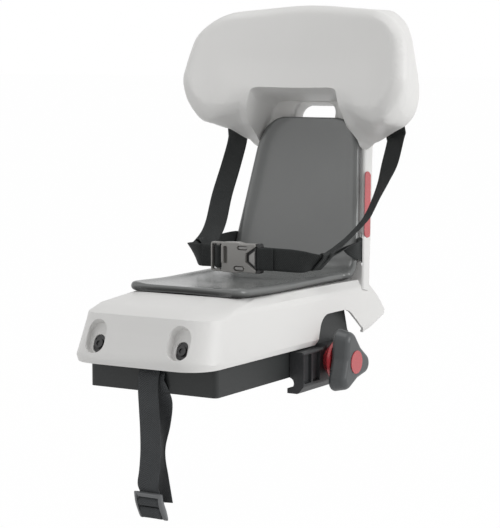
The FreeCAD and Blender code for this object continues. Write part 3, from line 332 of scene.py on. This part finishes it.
def trim_rear(mesh):
    """Slims the rear of the column and of the base, lifts the tail's foot and closes the belt slots' foot."""
    refine(mesh, REAR_EDGE, 4, lambda across, depth, level: depth > REAR_FROM)
    for vert in mesh.verts:
        across, depth, level = back_place(vert.co)
        wide = abs(across)
        slim = 8 * ease(depth, 12, 30) * fade(level, 140, 175)
        slim += 4 * ease(depth, 2, 24) * fade(depth, 26, 46) * ease(level, -34, -8) * fade(level, 4, 100)
        slot_foot = 5.5 * ease(level, 8, 13) * fade(level, 20, 32)
        slot_foot *= ease(wide, 76, 79) * fade(wide, 84, 86) * ease(depth, -4, -1) * fade(depth, 6, 10)
        vert.co += (BACK_UP * slot_foot - BACK_IN * slim) * MM
        vert.co.z += 6 * ease(vert.co.y / MM, 102, 138) * fade(vert.co.z / MM, 44, 54) * MM


def crown(x, y):
    """How far the front of the deck, and the pad on it, stand above level."""
    return ease(-y, *CROWN_RUN) * (CROWN_EDGE + CROWN_MIDDLE * (1 - min(1.0, (x / CROWN_HALF) ** 2)))


def rounded(mesh, edge, segments):
    """Rounds every edge of a mesh."""
    bmesh.ops.bevel(mesh, geom=list(mesh.edges), offset=edge * MM, affect="EDGES", segments=segments,
                    profile=0.5, material=-1, clamp_overlap=True)


def plate(outline, front, back, edge=0):
    """A flat block: an upright outline given thickness along Y, with its edges rounded if asked."""
    mesh = bmesh.new()
    face = mesh.faces.new([mesh.verts.new(Vector((x, front, z)) * MM) for x, z in outline])
    made = bmesh.ops.extrude_face_region(mesh, geom=[face])["geom"]
    bmesh.ops.translate(mesh, vec=Vector((0, back - front, 0)) * MM,
                        verts=[part for part in made if isinstance(part, bmesh.types.BMVert)])
    bmesh.ops.recalc_face_normals(mesh, faces=mesh.faces)
    if edge:
        rounded(mesh, edge, 2)
    return mesh


def as_object(mesh):
    """A bmesh put into the scene for a moment, to be cut or joined."""
    data = bpy.data.meshes.new("work")
    mesh.to_mesh(data)
    mesh.free()
    made = bpy.data.objects.new("work", data)
    bpy.context.scene.collection.objects.link(made)
    return made


def joined(mesh, others, operation="DIFFERENCE"):
    """The mesh with the others cut from it or joined to it."""
    base = as_object(mesh)
    tools = [as_object(other) for other in others]
    for tool in tools:
        change = base.modifiers.new("change", "BOOLEAN")
        change.object, change.operation, change.solver = tool, operation, "EXACT"
    data = bpy.data.meshes.new_from_object(base.evaluated_get(bpy.context.evaluated_depsgraph_get()))
    result = bmesh.new()
    result.from_mesh(data)
    bpy.data.meshes.remove(data)
    for spare in [base] + tools:
        bpy.data.objects.remove(spare)
    bmesh.ops.remove_doubles(result, verts=result.verts, dist=CUT_POINT)
    return result


def tidy_shell():
    """The shell with its tail opened, its outline eased and its deck crowned."""
    mesh = sharp_by(joined(merged("seat_shell"), [plate(TAIL_FLOOR, *TAIL_ENDS)]), 32)
    trim_rear(mesh)
    ease_head(mesh)
    for edge in mesh.edges:
        across, depth, level = back_place((edge.verts[0].co + edge.verts[1].co) / 2)
        in_notch = abs(across) < NOTCH_HALF and NOTCH_LEVELS[0] < level < NOTCH_LEVELS[1]
        if in_notch and NOTCH_DEPTHS[0] < depth < NOTCH_DEPTHS[1] and edge.is_manifold:
            edge.smooth = True
    for vert in mesh.verts:
        vert.co.z += crown(vert.co.x / MM, vert.co.y / MM) * ease(vert.co.z / MM, 55, 85) * MM
    for face in mesh.faces:
        face.smooth = True
    return finished(mesh, "shell_moulding", "seat", "seat_shell")


shell_skin = Finish("shell_skin")
broad = shell_skin.noise(5.0, 2.0)
grain = shell_skin.noise(1600.0, 2.0)
flow = shell_skin.noise(26.0, 3.0, (1, 1, 0.3))
shell_tone = shell_skin.mix(broad * 0.6 + flow * 0.4, (0.735, 0.730, 0.715, 1), (0.775, 0.770, 0.758, 1))
shell_skin.set(Base_Color=shell_tone, Roughness=0.36 + grain * 0.12 + flow * 0.05, Specular_IOR_Level=0.45)
shell_skin.bump(grain + flow * 0.4, 0.00003)
even_shading(coat(tidy_shell(), shell_skin))

black_oxide = moulded("black_oxide", (0.008, 0.008, 0.009), 0.42, 600, 0.00005, 0.15)
dress(black_oxide, "front_bolts", "front_washers", "front_nuts")


# Side marker: a plain red pill set in the right side of the column.
# Gloss plastic, clipped in from outside, and a little proud of the shell.
MARKER_SHIFT, MARKER_SPREAD = 2.5, 0.35


def broaden(mesh):
    """Brings the pill forward, and its front edge more than its rear one."""
    slope = math.tan(LEAN)
    rear = max(vert.co.y - vert.co.z * slope for vert in mesh.verts)
    for vert in mesh.verts:
        vert.co.y -= MARKER_SHIFT * MM + MARKER_SPREAD * (rear - vert.co.y + vert.co.z * slope)
    return mesh


marker = finished(broaden(sharp_by(merged("side_marker"), 40)), "red_side_pill", "seat", "side_marker")
even_shading(coat(marker, red_gloss))


# Seat pad: one soft-skinned foam moulding that runs over the deck and up the back.
# Its edge is a raised rolled band round a dished middle. It is pressed into the shell's recess.
UP = Vector((0, 0, 1))
PAD_LIFT, PAD_FRONT, PAD_TOP = 0.4, -143.0, 184.0
BEND_ANGLE, BEND_RADIUS = math.pi / 2 - LEAN, 35.5
BEND_TANGENT = BEND_RADIUS * math.tan(BEND_ANGLE / 2)
PAD_LENGTH = BACK_FOOT - PAD_FRONT + PAD_TOP + BEND_RADIUS * BEND_ANGLE - 2 * BEND_TANGENT
SEAT_WIDTHS = (PAD_FRONT, 72.5, 119, 79.0)
BACK_WIDTHS, TOP_WIDTHS = (-10, 86.1, 150, 67.1), (150, 66.7, 224, 52.2)
FRONT_CORNER, TOP_CORNER, CORNER_POWER = 18.0, 34.0, 2.5
END_GAP, END_RUN, PAD_STEPS, NO_LIMIT = 0.3, 12, 78, 20
EDGE_ROLL = [(5.0, 0.0), (1.4, 2.2), (0.0, 5.0), (0.9, 8.0), (3.0, 9.9), (6.0, 10.5), (9.5, 10.2),
             (13.0, 9.3), (17.5, 8.3), (25.0, 7.7), (36.0, 7.4), (50.0, 7.2)]
END_ROLL = EDGE_ROLL[1:6]
MIDDLE_HEIGHT, UNDERSIDE = 7.1, (0.6, 0.2, -0.2, -0.6)


def pad_line(along):
    """Point and outward direction of the pad's underside line, from its front edge to its top."""
    corner = on_back(0, -PAD_LIFT, PAD_LIFT * (1 - math.sin(LEAN)) / math.cos(LEAN))
    run = corner.y - BEND_TANGENT - PAD_FRONT
    if along < run:
        return Vector((0, PAD_FRONT + along, corner.z)), UP
    bend = BEND_RADIUS * BEND_ANGLE
    if along < run + bend:
        angle = (along - run) / BEND_RADIUS
        out = Vector((0, -math.sin(angle), math.cos(angle)))
        return Vector((0, corner.y - BEND_TANGENT, corner.z + BEND_RADIUS)) - out * BEND_RADIUS, out
    return corner + BACK_UP * (BEND_TANGENT + along - run - bend), -BACK_IN


def slide(value, low, at_low, high, at_high):
    """A straight run from one place to another."""
    return at_low + (at_high - at_low) * (value - low) / (high - low)


def pad_half(along):
    """Half width of the pad, with its four corners rounded."""
    point, out = pad_line(along)
    if out.z > 0.99:
        half = slide(point.y, *SEAT_WIDTHS)
    else:
        level = (point - on_back(0, 0, 0)).dot(BACK_UP)
        between_belts = 83.4 - 2.4 * ease(level, 6, 22) + 0.05 * max(0.0, level - 20)
        half = min(between_belts, slide(level, *(BACK_WIDTHS if level < TOP_WIDTHS[0] else TOP_WIDTHS)))
    for gap, corner in ((along, FRONT_CORNER), (PAD_LENGTH - along, TOP_CORNER)):
        if gap < corner:
            half -= corner * (1 - max(0.0, 1 - (1 - gap / corner) ** CORNER_POWER) ** (1 / CORNER_POWER))
    return half


def skin(rings, spans=None):
    """A closed skin over rings of points: each ring is extruded to the next, and the ends are filled."""
    mesh = bmesh.new()
    along, across = (mesh.verts.layers.float.new(word) for word in ("along", "across"))
    ring = bmesh.ops.create_circle(mesh, segments=len(rings[0]), radius=1.0)["verts"]
    edges = first = list(mesh.edges)
    for step, places in enumerate(rings):
        if step:
            made = bmesh.ops.extrude_edge_only(mesh, edges=edges)["geom"]
            fresh = {part for part in made if isinstance(part, bmesh.types.BMVert)}
            ring = [next(edge.other_vert(vert) for edge in vert.link_edges if edge.other_vert(vert) in fresh)
                    for vert in ring]
            edges = [part for part in made
                     if isinstance(part, bmesh.types.BMEdge) and fresh.issuperset(part.verts)]
        for spot, (vert, place) in enumerate(zip(ring, places)):
            vert.co = Vector(place) * MM
            if spans:
                vert[along], vert[across] = spans[step][spot]
    for end in (first, edges):
        bmesh.ops.contextual_create(mesh, geom=end)
    for face in mesh.faces:
        face.smooth = True
    bmesh.ops.recalc_face_normals(mesh, faces=mesh.faces)
    return mesh


def pad_ring(along, lift):
    """One closed section of the pad: rolled edge, dished middle, flat underside."""
    point, out = pad_line(along)
    half = pad_half(along)
    side = [(half - inset, min(height, lift)) for inset, height in EDGE_ROLL if inset < half - 2]
    top = [(-place, height) for place, height in side] + [(0, min(MIDDLE_HEIGHT, lift))] + side[::-1]
    outline = top + [(half * share, 0) for share in UNDERSIDE]
    section = [point + out * height + Vector((place, 0, crown(place, point.y))) for place, height in outline]
    return section, [(height * MM, place * MM) for place, height in outline]


stations = [(inset + END_GAP, max(0.5, height)) for inset, height in END_ROLL]
stations += [(END_RUN + (PAD_LENGTH - 2 * END_RUN) * step / PAD_STEPS, NO_LIMIT)
             for step in range(PAD_STEPS + 1)]
stations += [(PAD_LENGTH - inset - END_GAP, max(0.5, height)) for inset, height in reversed(END_ROLL)]
pad_rings, pad_spans = zip(*(pad_ring(along, lift) for along, lift in stations))
pad = finished(skin(pad_rings, pad_spans), "foam_pad", "seat", "seat_pad")
pad_skin = Finish("pad_skin")
mottle = pad_skin.noise(18.0, 3.0)
pore = pad_skin.node("ShaderNodeTexVoronoi", {"feature": "SMOOTH_F1"},
                     {"Vector": pad_skin.place(), "Scale": 900.0})
# Painted shade: the pad's skin goes near black within a few mm of its underside, for the shadow in the gap
# round its edge and under its front lip.
painted_edge_shade_mask = pad_skin.attribute("along").between(1.5 * MM, 7.5 * MM)
pad_tone = pad_skin.mix(mottle * 0.75 + pore * 0.25, (0.136, 0.141, 0.139, 1), (0.166, 0.171, 0.168, 1))
pad_skin.set(Base_Color=pad_skin.mix(painted_edge_shade_mask, (0.016, 0.017, 0.017, 1), pad_tone),
             Roughness=0.17 + mottle * 0.08 + pore * 0.06)
pad_skin.bump(pore + mottle * 0.6, 0.000025)
coat(pad, pad_skin)
smooth_pad = pad.modifiers.new("smooth_pad", "SUBSURF")
smooth_pad.levels = smooth_pad.render_levels = 1


# Side-release buckle: socket with an adjuster frame on the left belt, plug with two prongs on the right.
# Acetal mouldings. The body is waisted, with a window over each prong and a V-shaped mouth.
BUCKLE = Vector((-13.0, -12.0, 120.0))
BUCKLE_CREASE = 35
acetal = moulded("acetal", (0.32, 0.312, 0.298), 0.34, 1300, 0.00005, 0.07)
pale_acetal = moulded("pale_acetal", (0.40, 0.392, 0.38), 0.36, 1300, 0.00005, 0.07)
dark_acetal = moulded("dark_acetal", (0.030, 0.030, 0.031), 0.40, 1300, 0.00005, 0.1)


def buckle_plate(outline, front, back, edge=0):
    """A flat block placed from the buckle's middle."""
    return plate([(BUCKLE.x + x, BUCKLE.z + z) for x, z in outline], BUCKLE.y + front, BUCKLE.y + back, edge)


def oblong(x0, x1, z0, z1, corner):
    """Corners of an upright rounded rectangle."""
    spots = []
    for x, z, start in ((x1 - corner, z1 - corner, 0), (x0 + corner, z1 - corner, 90),
                        (x0 + corner, z0 + corner, 180), (x1 - corner, z0 + corner, 270)):
        turns = [math.radians(start + step) for step in (0, 30, 60, 90)]
        spots += [(x + corner * math.cos(turn), z + corner * math.sin(turn)) for turn in turns]
    return spots


def buckle_piece(mesh, name, finish, *nodes):
    """A finished half of the buckle, or a part of one."""
    piece = finished(sharp_by(mesh, BUCKLE_CREASE), name, "seat", *nodes)
    even_shading(coat(piece, finish))


waist = [(-17.5, 16.4), (2.0, 17.0), (9.0, 15.4), (19.5, 15.8), (25.5, 16.2), (26.2, 13.2), (13.4, 4.6)]
windows = [buckle_plate(oblong(-14.8, -9.8, -7.0, 12.5, 2.0), -9, -1.0),
           buckle_plate(oblong(2.7, 16.0, 8.6, 13.4, 2.3), -9, -0.5),
           buckle_plate(oblong(-2.0, 12.0, -15.0, -9.0, 2.8), -9, -0.5)]
socket_body = joined(buckle_plate(waist + [(x, -z) for x, z in reversed(waist)], -5.4, 5.4, 0.9), windows)
adjuster = joined(buckle_plate(oblong(-32.7, -16.5, -16.4, 16.4, 3.0), -3.4, 1.8, 0.8),
                  [buckle_plate(oblong(-30.7, -17.6, -14.4, 14.4, 1.4), -8, 6)])
cross_bar = buckle_plate(oblong(-26.0, -22.0, -14.5, 14.5, 0.8), -1.4, 1.6, 0.5)
slot_rib = buckle_plate(oblong(-17.2, -14.7, -6.5, 13.2, 1.0), -6.6, -4.0, 0.5)
socket = joined(socket_body, [adjuster, cross_bar, slot_rib], "UNION")
buckle_piece(socket, "buckle_body", acetal, "buckle_socket")

tongue = buckle_plate([(17.8, 3.2), (24.6, 8.4), (24.6, -8.4), (17.8, -3.2)], -5.0, 4.4, 0.8)
prongs = [buckle_plate(oblong(4.0, 15.0, 9.8, 12.4, 1.2), -4.2, 3.2, 0.5),
          buckle_plate(oblong(-0.4, 10.2, -13.2, -10.2, 1.3), -4.8, 3.2, 0.5)]
buckle_piece(joined(tongue, prongs, "UNION"), "plug_tongue", pale_acetal)
end_post = joined(buckle_plate(oblong(23.6, 32.0, -16.4, 16.4, 2.2), -3.6, 3.6, 0.8),
                  [buckle_plate(oblong(25.6, 28.4, -13.0, 13.0, 0.8), -8, 8)])
# The guide sits in the V gap between tongue and body in the dark finish, so it paints the shade seen in that
# gap.
gap_shade_guide = buckle_plate(oblong(11.5, 24.5, -11.0, 11.0, 1.0), -1.5, 1.5, 0.4)
buckle_piece(joined(end_post, [gap_shade_guide], "UNION"), "plug_end", dark_acetal, "buckle_plug")


# Lap belts: 25 mm polypropylene webbing, folded round the buckle bars, past the hips and into the shell.
# Woven in a twill with bound edges, so it shows fine slanting ribs.
TWILL, TWILL_SLANT, YARN, PICK = 2.3 * MM, 3.0 * MM, 1.7 * MM, 1.3 * MM
BOUND_EDGE = (9.8 * MM, 11.2 * MM)
BELT_WIDTH, BELT_THICK, BELT_STEP = 25.0, 1.5, 2.0
BAND = [(-0.5, 0.0), (-0.49, 0.55), (-0.45, 0.95), (-0.36, 1.0), (-0.18, 0.9), (0.0, 0.88), (0.18, 0.9),
        (0.36, 1.0), (0.45, 0.95), (0.49, 0.55), (0.5, 0.0)]
RIGHT_LOOP = [(46, -0.9), (38, -2.2), (33.5, -3.3), (29.8, -3.6), (26.8, -2.6), (26, 0), (26.8, 2.6),
              (29.8, 3.6), (33.5, 3.3), (38, 2.2), (46, 0.9)]
LEFT_LOOP = [(-47, 1.2), (-40, 2.8), (-33, 3.4), (-29.6, 2.4), (-28, 0), (-26.6, -2.6), (-24, -3.4),
             (-21.4, -2.6), (-19.8, 0), (-20.4, 3.4), (-24, 5.2), (-33, 5.6), (-40, 4.8), (-47, 3)]
HIP_RIGHT = [(54, -9, 119.4, 0), (66, -5.5, 118.6, 14), (74, 1, 118.0, 36), (79, 10, 118.0, 50),
             (82.4, 25, 120.6, 58), (84.4, 50, 128.5, 66), (83.6, 74, 131.0, 64)]
HIP_LEFT = [(66, -9, 120.0, 8), (76.5, -2, 120.6, 26), (82.5, 10, 121.2, 42), (84.6, 25, 121.6, 48),
            (84.6, 50, 122.4, 38), (83.2, 74, 123.5, 16)]
SLOT_HALF, SLOT_LEVEL, SLOT_SLANT = 81.06, 34.0, 0.119
PIN, PIN_WRAP, PIN_TURNS = (72.0, 11.0), 5.2, range(65, 290, 45)
SLOT_RUN = [(SLOT_HALF, -8), (SLOT_HALF, 0), (SLOT_HALF, 6), (SLOT_HALF - 1.6, 11)]


def woven(name, dark, light):
    """Webbing: slanting twill, lengthwise yarns and cross picks, plain at its bound edges."""
    finish = Finish(name)
    along, across = finish.attribute("along"), finish.attribute("across")
    turn = 2 * math.pi
    slant = (along * (turn / TWILL) + across.size() * (turn / TWILL_SLANT)).wave()
    yarn = (across * (turn / YARN)).wave()
    pick = (along * (turn / PICK)).wave()
    bound = across.size().between(*BOUND_EDGE)
    height = (slant * 0.6 + yarn * 0.25 + pick * 0.15) * (1 - bound) + pick * bound * 0.7
    fuzz = finish.noise(700.0, 3.0)
    slow = finish.noise(30.0, 2.0)
    tone = finish.mix(height * 0.35 + 0.4 + (fuzz - 0.5) * 0.5 + (slow - 0.5) * 0.4, dark, light)
    finish.set(Base_Color=tone, Roughness=0.66 + fuzz * 0.16, Specular_IOR_Level=0.25)
    finish.bump(height * 0.5 + fuzz * 0.2, 0.00035)
    return finish


def ribbon(knots, width=BELT_WIDTH, thick=BELT_THICK, step=BELT_STEP):
    """Flat webbing along knots of (point, width direction): rings on a smooth line through them."""
    rings, spans, travelled, last = [], [], 0.0, None
    places = []
    for spot in range(len(knots) - 1):
        four = [knots[max(0, min(len(knots) - 1, spot + shift))] for shift in (-1, 0, 1, 2)]
        count = max(2, round((four[2][0] - four[1][0]).length / step))
        for part in range(count + (spot == len(knots) - 2)):
            t = part / count
            weights = (-0.5 * t + t * t - 0.5 * t ** 3, 1 - 2.5 * t * t + 1.5 * t ** 3,
                       0.5 * t + 2 * t * t - 1.5 * t ** 3, -0.5 * t * t + 0.5 * t ** 3)
            places.append(tuple(sum((weight * knot[item] for weight, knot in zip(weights, four)), Vector())
                                for item in (0, 1)))
    for spot, (point, wide) in enumerate(places):
        heading = places[min(spot + 1, len(places) - 1)][0] - places[max(spot - 1, 0)][0]
        wide = (wide - heading * (wide.dot(heading) / heading.length_squared)).normalized()
        out = heading.cross(wide).normalized()
        travelled += (point - last).length if last else 0.0
        last = point
        upper = [(share * width, lift * thick / 2) for share, lift in BAND]
        section = upper + [(place, -lift) for place, lift in upper[-2:0:-1]]
        rings.append([point + wide * place + out * lift for place, lift in section])
        spans.append([(travelled * MM, place * MM) for place, lift in section])
    return skin(rings, spans)


def tilted(side, lean, heading):
    """Width direction of a belt that leans outwards from upright, square to its heading."""
    outward = Vector((heading[1], -heading[0], 0)).normalized() * side
    return (UP * math.cos(math.radians(lean)) + outward * math.sin(math.radians(lean))).normalized()


def lap_belt(side, loop, hips):
    """Webbing from its fold in the buckle, round the hip, through the slot and round the pin behind it."""
    knots = [(BUCKLE + Vector((x, y, 0)), UP) for x, y in loop]
    for spot, (x, y, z, lean) in enumerate(hips):
        before, after = hips[max(0, spot - 1)], hips[min(len(hips) - 1, spot + 1)]
        heading = (side * (after[0] - before[0]), after[1] - before[1])
        knots.append((Vector((side * x, y, z)), tilted(side, lean, heading)))
    run = SLOT_RUN + [(PIN[0] + PIN_WRAP * math.cos(turn), PIN[1] + PIN_WRAP * math.sin(turn))
                      for turn in map(math.radians, PIN_TURNS)]
    run.append((PIN[0] + PIN_WRAP, PIN[1] - PIN_WRAP))
    upright = Vector((-side * SLOT_SLANT, math.sin(LEAN), math.cos(LEAN))).normalized()
    return ribbon(knots + [(on_back(side * across, depth, SLOT_LEVEL), upright) for across, depth in run])


black_weave = woven("black_weave", (0.010, 0.011, 0.011, 1), (0.054, 0.058, 0.058, 1))
belt_right = finished(lap_belt(1, RIGHT_LOOP, HIP_RIGHT), "right_lap_belt", "seat", "lap_belt_right")
belt_left = finished(lap_belt(-1, LEFT_LOOP, HIP_LEFT), "left_lap_belt", "seat", "lap_belt_left")
for belt in (belt_right, belt_left):
    coat(belt, black_weave)


# Shoulder straps: the same webbing, hooked round pins behind the headrest and over its lower rim.
# Each falls to the hip and ends in a sewn loop round the lap belt.
CROSS = Vector((1, 0, 0))
HOOK_HALF, HOOK_SHIFT = 105, 1.5
STRAP_HOOK = [(-30.8, 187), (-30.2, 196), (-29, 199), (-26, 200.3), (-23, 199), (-21.8, 196), (-20.6, 187),
              (-13, 183), (-4, 177), (1.5, 168)]
LOOP_WIDTH, LOOP_THICK, LOOP_STEP, LOOP_OUT, LOOP_RISE = 14.0, 1.7, 1.5, 4.2, 6
STRAP_RING = [(2.9, 7), (2.9, -9), (2.0, -12.6), (0, -13.8), (-2.0, -12.6), (-2.9, -9), (-2.9, 9),
              (-2.0, 12.6), (0, 13.8), (2.0, 12.6), (2.9, 9), (2.9, 4)]
RIGHT_FALL = [(108.1, 132, 247.6, -16), (107.9, 118, 220.3, -18), (105.8, 107, 200.4, -36),
              (102.6, 95, 181.8, -47), (100.2, 83, 166.5, -50), (98.5, 71, 156.6, -53),
              (92.6, 53, 143.4, -56), (88.0, 34, 133.0, -52), (84.5, 20, 126.0, -48)]
LEFT_FALL = [(100.3, 131, 241.0, 8), (98.3, 113, 212.6, 12), (98.3, 93, 178.6, 16), (94.0, 73, 149.5, 20),
             (90.5, 54, 134.5, 24)]


def flat_turn(turn):
    """A level direction, turned from straight across."""
    return Vector((math.cos(math.radians(turn)), math.sin(math.radians(turn)), 0))


def shoulder_strap(side, fall, ring, along, lean):
    """Webbing from its hook to the belt, with the loop that holds it there sewn over its end."""
    knots = [(on_back(side * HOOK_HALF + HOOK_SHIFT, depth, level), CROSS) for depth, level in STRAP_HOOK]
    knots += [(Vector((side * x, y, z)), flat_turn(turn)) for x, y, z, turn in fall]
    upright = tilted(side, lean, along)
    out = along.cross(upright).normalized()
    if out.x * side < 0:
        out = -out
    knots.append((ring + out * LOOP_OUT + upright * LOOP_RISE, knots[-1][1]))
    loop = ribbon([(ring + out * shift + upright * rise, along) for shift, rise in STRAP_RING],
                  LOOP_WIDTH, LOOP_THICK, LOOP_STEP)
    sewn = bpy.data.meshes.new("sewn_loop")
    loop.to_mesh(sewn)
    loop.free()
    strap = ribbon(knots)
    strap.from_mesh(sewn)
    bpy.data.meshes.remove(sewn)
    return strap


strap_right = finished(shoulder_strap(1, RIGHT_FALL, Vector((79.4, 11, 118.2)), Vector((0.3, 0.954, 0)), 50),
                       "right_shoulder_strap", "seat", "shoulder_strap_right")
strap_left = finished(shoulder_strap(-1, LEFT_FALL, Vector((-84.7, 37, 121.8)), Vector((0, 1, 0)), 42),
                      "left_shoulder_strap", "seat", "shoulder_strap_left")
for strap in (strap_right, strap_left):
    coat(strap, black_weave)


# Safety strap and ladder lock: one webbing doubled round a steel bar in the frame's front.
# It ties the seat to the cycle. The front ply carries a moulded ladder lock and the other end hangs free.
HANG, FRONT_TOP, BAR_Y, BAR_Z, BAR_DRIFT = -207.5, 3.0, -193.5, 23.0, 0.4
LOCK_X, LOCK_TOP, LOCK_LEAN, LOCK_HALF, LOCK_ROUND = -0.9, -104.0, math.radians(20), 14.6, 0.3
LOCK_PLY = [(16.2, -1.6), (20, -3.0), (25, -3.4), (28.3, -2.2), (29.4, 0.2), (28.2, 2.6), (24, 3.4),
            (19, 2.6), (15.6, 0.2), (13.6, -2.4), (10.8, -3.6), (8, -3.0), (6.2, -0.6), (4.2, 2.2),
            (0, 3.2), (-8, 2.6)]
FRONT_PLY = [(1.6, -1, -84), (3.2, -1, -64), (2.6, -0.5, -40), (1.2, 0, -22)]
BAR_WRAP = [(-14, -20), (-13.6, -6), (-11, 0), (-7, 1.6), (-3, 3.2), (0, 3.7), (3, 2.4), (3.8, 0), (3, -2.4),
            (0, -3.7), (-3, -3.2), (-7, -1.6), (-9.6, -5), (-10, -12)]
TAIL = [(8, -7.5, 3, 4), (8.5, -1, -10, 1), (6.6, 3, -32, -18), (6, 3.8, -60, -47), (5.6, 3.5, -88, -28),
        (9, 2.5, -116, -16)]
LOCK_BARS = [(2.4, 4.6, 4.4), (10.8, 4.2, 3.6), (25.2, 4.4, 3.4)]
RAIL = [(0, 0.0, 2.0), (0.8, 0.0, 4.2), (4, -0.4, 5.8), (9, -1.0, 6.8), (15, -0.6, 7.4), (21, 0.2, 7.4),
        (26, 0.6, 6.8), (29.4, 0.8, 5.2), (31.2, 0.8, 2.0)]
RAIL_SECTION = [(13.2, -0.5), (13.8, -0.5), (15.8, -0.42), (16.9, -0.2), (16.9, 0.2), (15.8, 0.42),
                (13.8, 0.5), (13.2, 0.5)]


def at_lock(x, down, back):
    """A point of the lock, which hangs with its foot swung back."""
    return Vector((LOCK_X + x, HANG + down * math.sin(LOCK_LEAN) + back * math.cos(LOCK_LEAN),
                   LOCK_TOP - down * math.cos(LOCK_LEAN) + back * math.sin(LOCK_LEAN)))


def lock_bar(down, high, deep):
    """A rounded bar across the lock."""
    mesh = bmesh.new()
    bmesh.ops.create_cube(mesh, size=1.0)
    for vert in mesh.verts:
        x, y, z = vert.co
        vert.co = at_lock(x * 2 * LOCK_HALF, down + z * high, y * deep) * MM
    bmesh.ops.recalc_face_normals(mesh, faces=mesh.faces)
    rounded(mesh, min(high, deep) * LOCK_ROUND, 3)
    return mesh


def lock_rail(side):
    """A side rail, thicker in the middle and rounded at both ends."""
    return skin([[at_lock(side * x, down, back + deep * share) for x, share in RAIL_SECTION]
                 for down, back, deep in RAIL])


grey_weave = woven("grey_weave", (0.034, 0.036, 0.038, 1), (0.102, 0.108, 0.112, 1))
strap_knots = [(at_lock(0, down, back), CROSS) for down, back in LOCK_PLY]
strap_knots += [(Vector((x, HANG + y, FRONT_TOP + z)), CROSS) for x, y, z in FRONT_PLY]
strap_knots += [(Vector((BAR_DRIFT * spot, BAR_Y + y, BAR_Z + z)), CROSS)
                for spot, (y, z) in enumerate(BAR_WRAP)]
strap_knots += [(Vector((x, BAR_Y + y, z)), flat_turn(turn)) for x, y, z, turn in TAIL]
coat(finished(ribbon(strap_knots), "hanging_strap", "seat", "safety_strap"), grey_weave)

lock_nylon = moulded("lock_nylon", (0.150, 0.155, 0.160), 0.40, 1100, 0.00006, 0.08)
first_bar, *other_bars = [lock_bar(*sizes) for sizes in LOCK_BARS]
lock_mesh = sharp_by(joined(first_bar, other_bars + [lock_rail(1), lock_rail(-1)], "UNION"), 40)
even_shading(coat(finished(lock_mesh, "ladder_lock", "seat", "strap_lock"), lock_nylon))


# Studio: pale floor, soft lamps and the camera at the photograph's place.
# The floor takes the shadow, and the world is white where the camera or a gloss sees it.
FLOOR_SIZE, FLOOR_GAP, FLOOR_GLOW, SKY_LIGHT = 30.0, 0.0005, 0.99, 0.38
WHITE = (1, 1, 1, 1)
CAMERA_PITCH, CAMERA_AZIMUTH = 6.4, 31.1


def seen_directly(nodes):
    """1 for rays from the camera, off a gloss or through a clear piece, and 0 for the rest."""
    camera_ray, glossy_ray, clear_ray = (nodes.node("ShaderNodeLightPath", out=f"Is {word} Ray")
                                         for word in ("Camera", "Glossy", "Transmission"))
    return camera_ray.most(glossy_ray).most(clear_ray)


floor_mesh = bmesh.new()
bmesh.ops.create_grid(floor_mesh, x_segments=1, y_segments=1, size=FLOOR_SIZE,
                      matrix=Matrix.Translation((0, 0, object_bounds()[0].z - FLOOR_GAP)))
floor_data = bpy.data.meshes.new("floor")
floor_mesh.to_mesh(floor_data)
floor_mesh.free()
floor = bpy.data.objects.new("floor", floor_data)
bpy.context.scene.collection.objects.link(floor)
floor_paint = Finish("floor_paint", Base_Color=(0.86, 0.86, 0.86, 1), Roughness=0.9, Specular_IOR_Level=0.1)
white_glow = floor_paint.node("ShaderNodeEmission", {}, {"Color": WHITE, "Strength": 1.0})
painted = Value(floor_paint, floor_paint.shader.outputs[0])
floor_look = floor_paint.node("ShaderNodeMixShader", {}, {
    0: seen_directly(floor_paint) * FLOOR_GLOW, 1: painted, 2: white_glow})
floor_paint.feed(floor_paint.tree.nodes["Material Output"].inputs["Surface"], floor_look)
floor_data.materials.append(floor_paint.material)

world = bpy.data.worlds.new("studio")
bpy.context.scene.world = world
world.use_nodes = True
sky = Nodes(world.node_tree)
backdrop = sky.tree.nodes["Background"]
sky.feed(backdrop.inputs["Color"], WHITE)
sky.feed(backdrop.inputs["Strength"], sky.node("ShaderNodeMapRange", {}, {
    "Value": seen_directly(sky), "To Min": SKY_LIGHT, "To Max": 1.0}))


def lamp(name, power, size, place, aim):
    """A soft round lamp turned to a point."""
    light = bpy.data.lights.new(name, "AREA")
    light.energy, light.shape, light.size = power, "DISK", size
    made = bpy.data.objects.new(name, light)
    made.location = place
    made.rotation_euler = (Vector(aim) - Vector(place)).to_track_quat("-Z", "Y").to_euler()
    bpy.context.scene.collection.objects.link(made)


lamp("key_lamp", 33.0, 1.5, (2.4, 0.15, 1.05), (0, 0, 0.12))
lamp("fill_lamp", 9.0, 2.0, (-1.6, -1.9, 0.9), (0, 0, 0.12))
lamp("top_lamp", 13.0, 1.6, (-0.3, -0.3, 2.2), (0, 0, 0.1))

lens = bpy.data.cameras.new("photo_camera")
lens.sensor_fit = "VERTICAL"
lens.sensor_height = 36.0
lens.lens = 129.545
camera = bpy.data.objects.new("photo_camera", lens)
camera.location = (1.0738, -1.7867, 0.3459)
camera.rotation_euler = (math.radians(90 - CAMERA_PITCH), 0, math.radians(CAMERA_AZIMUTH))
bpy.context.scene.collection.objects.link(camera)
bpy.context.scene.camera = camera
bpy.context.scene.view_settings.view_transform = "Standard"
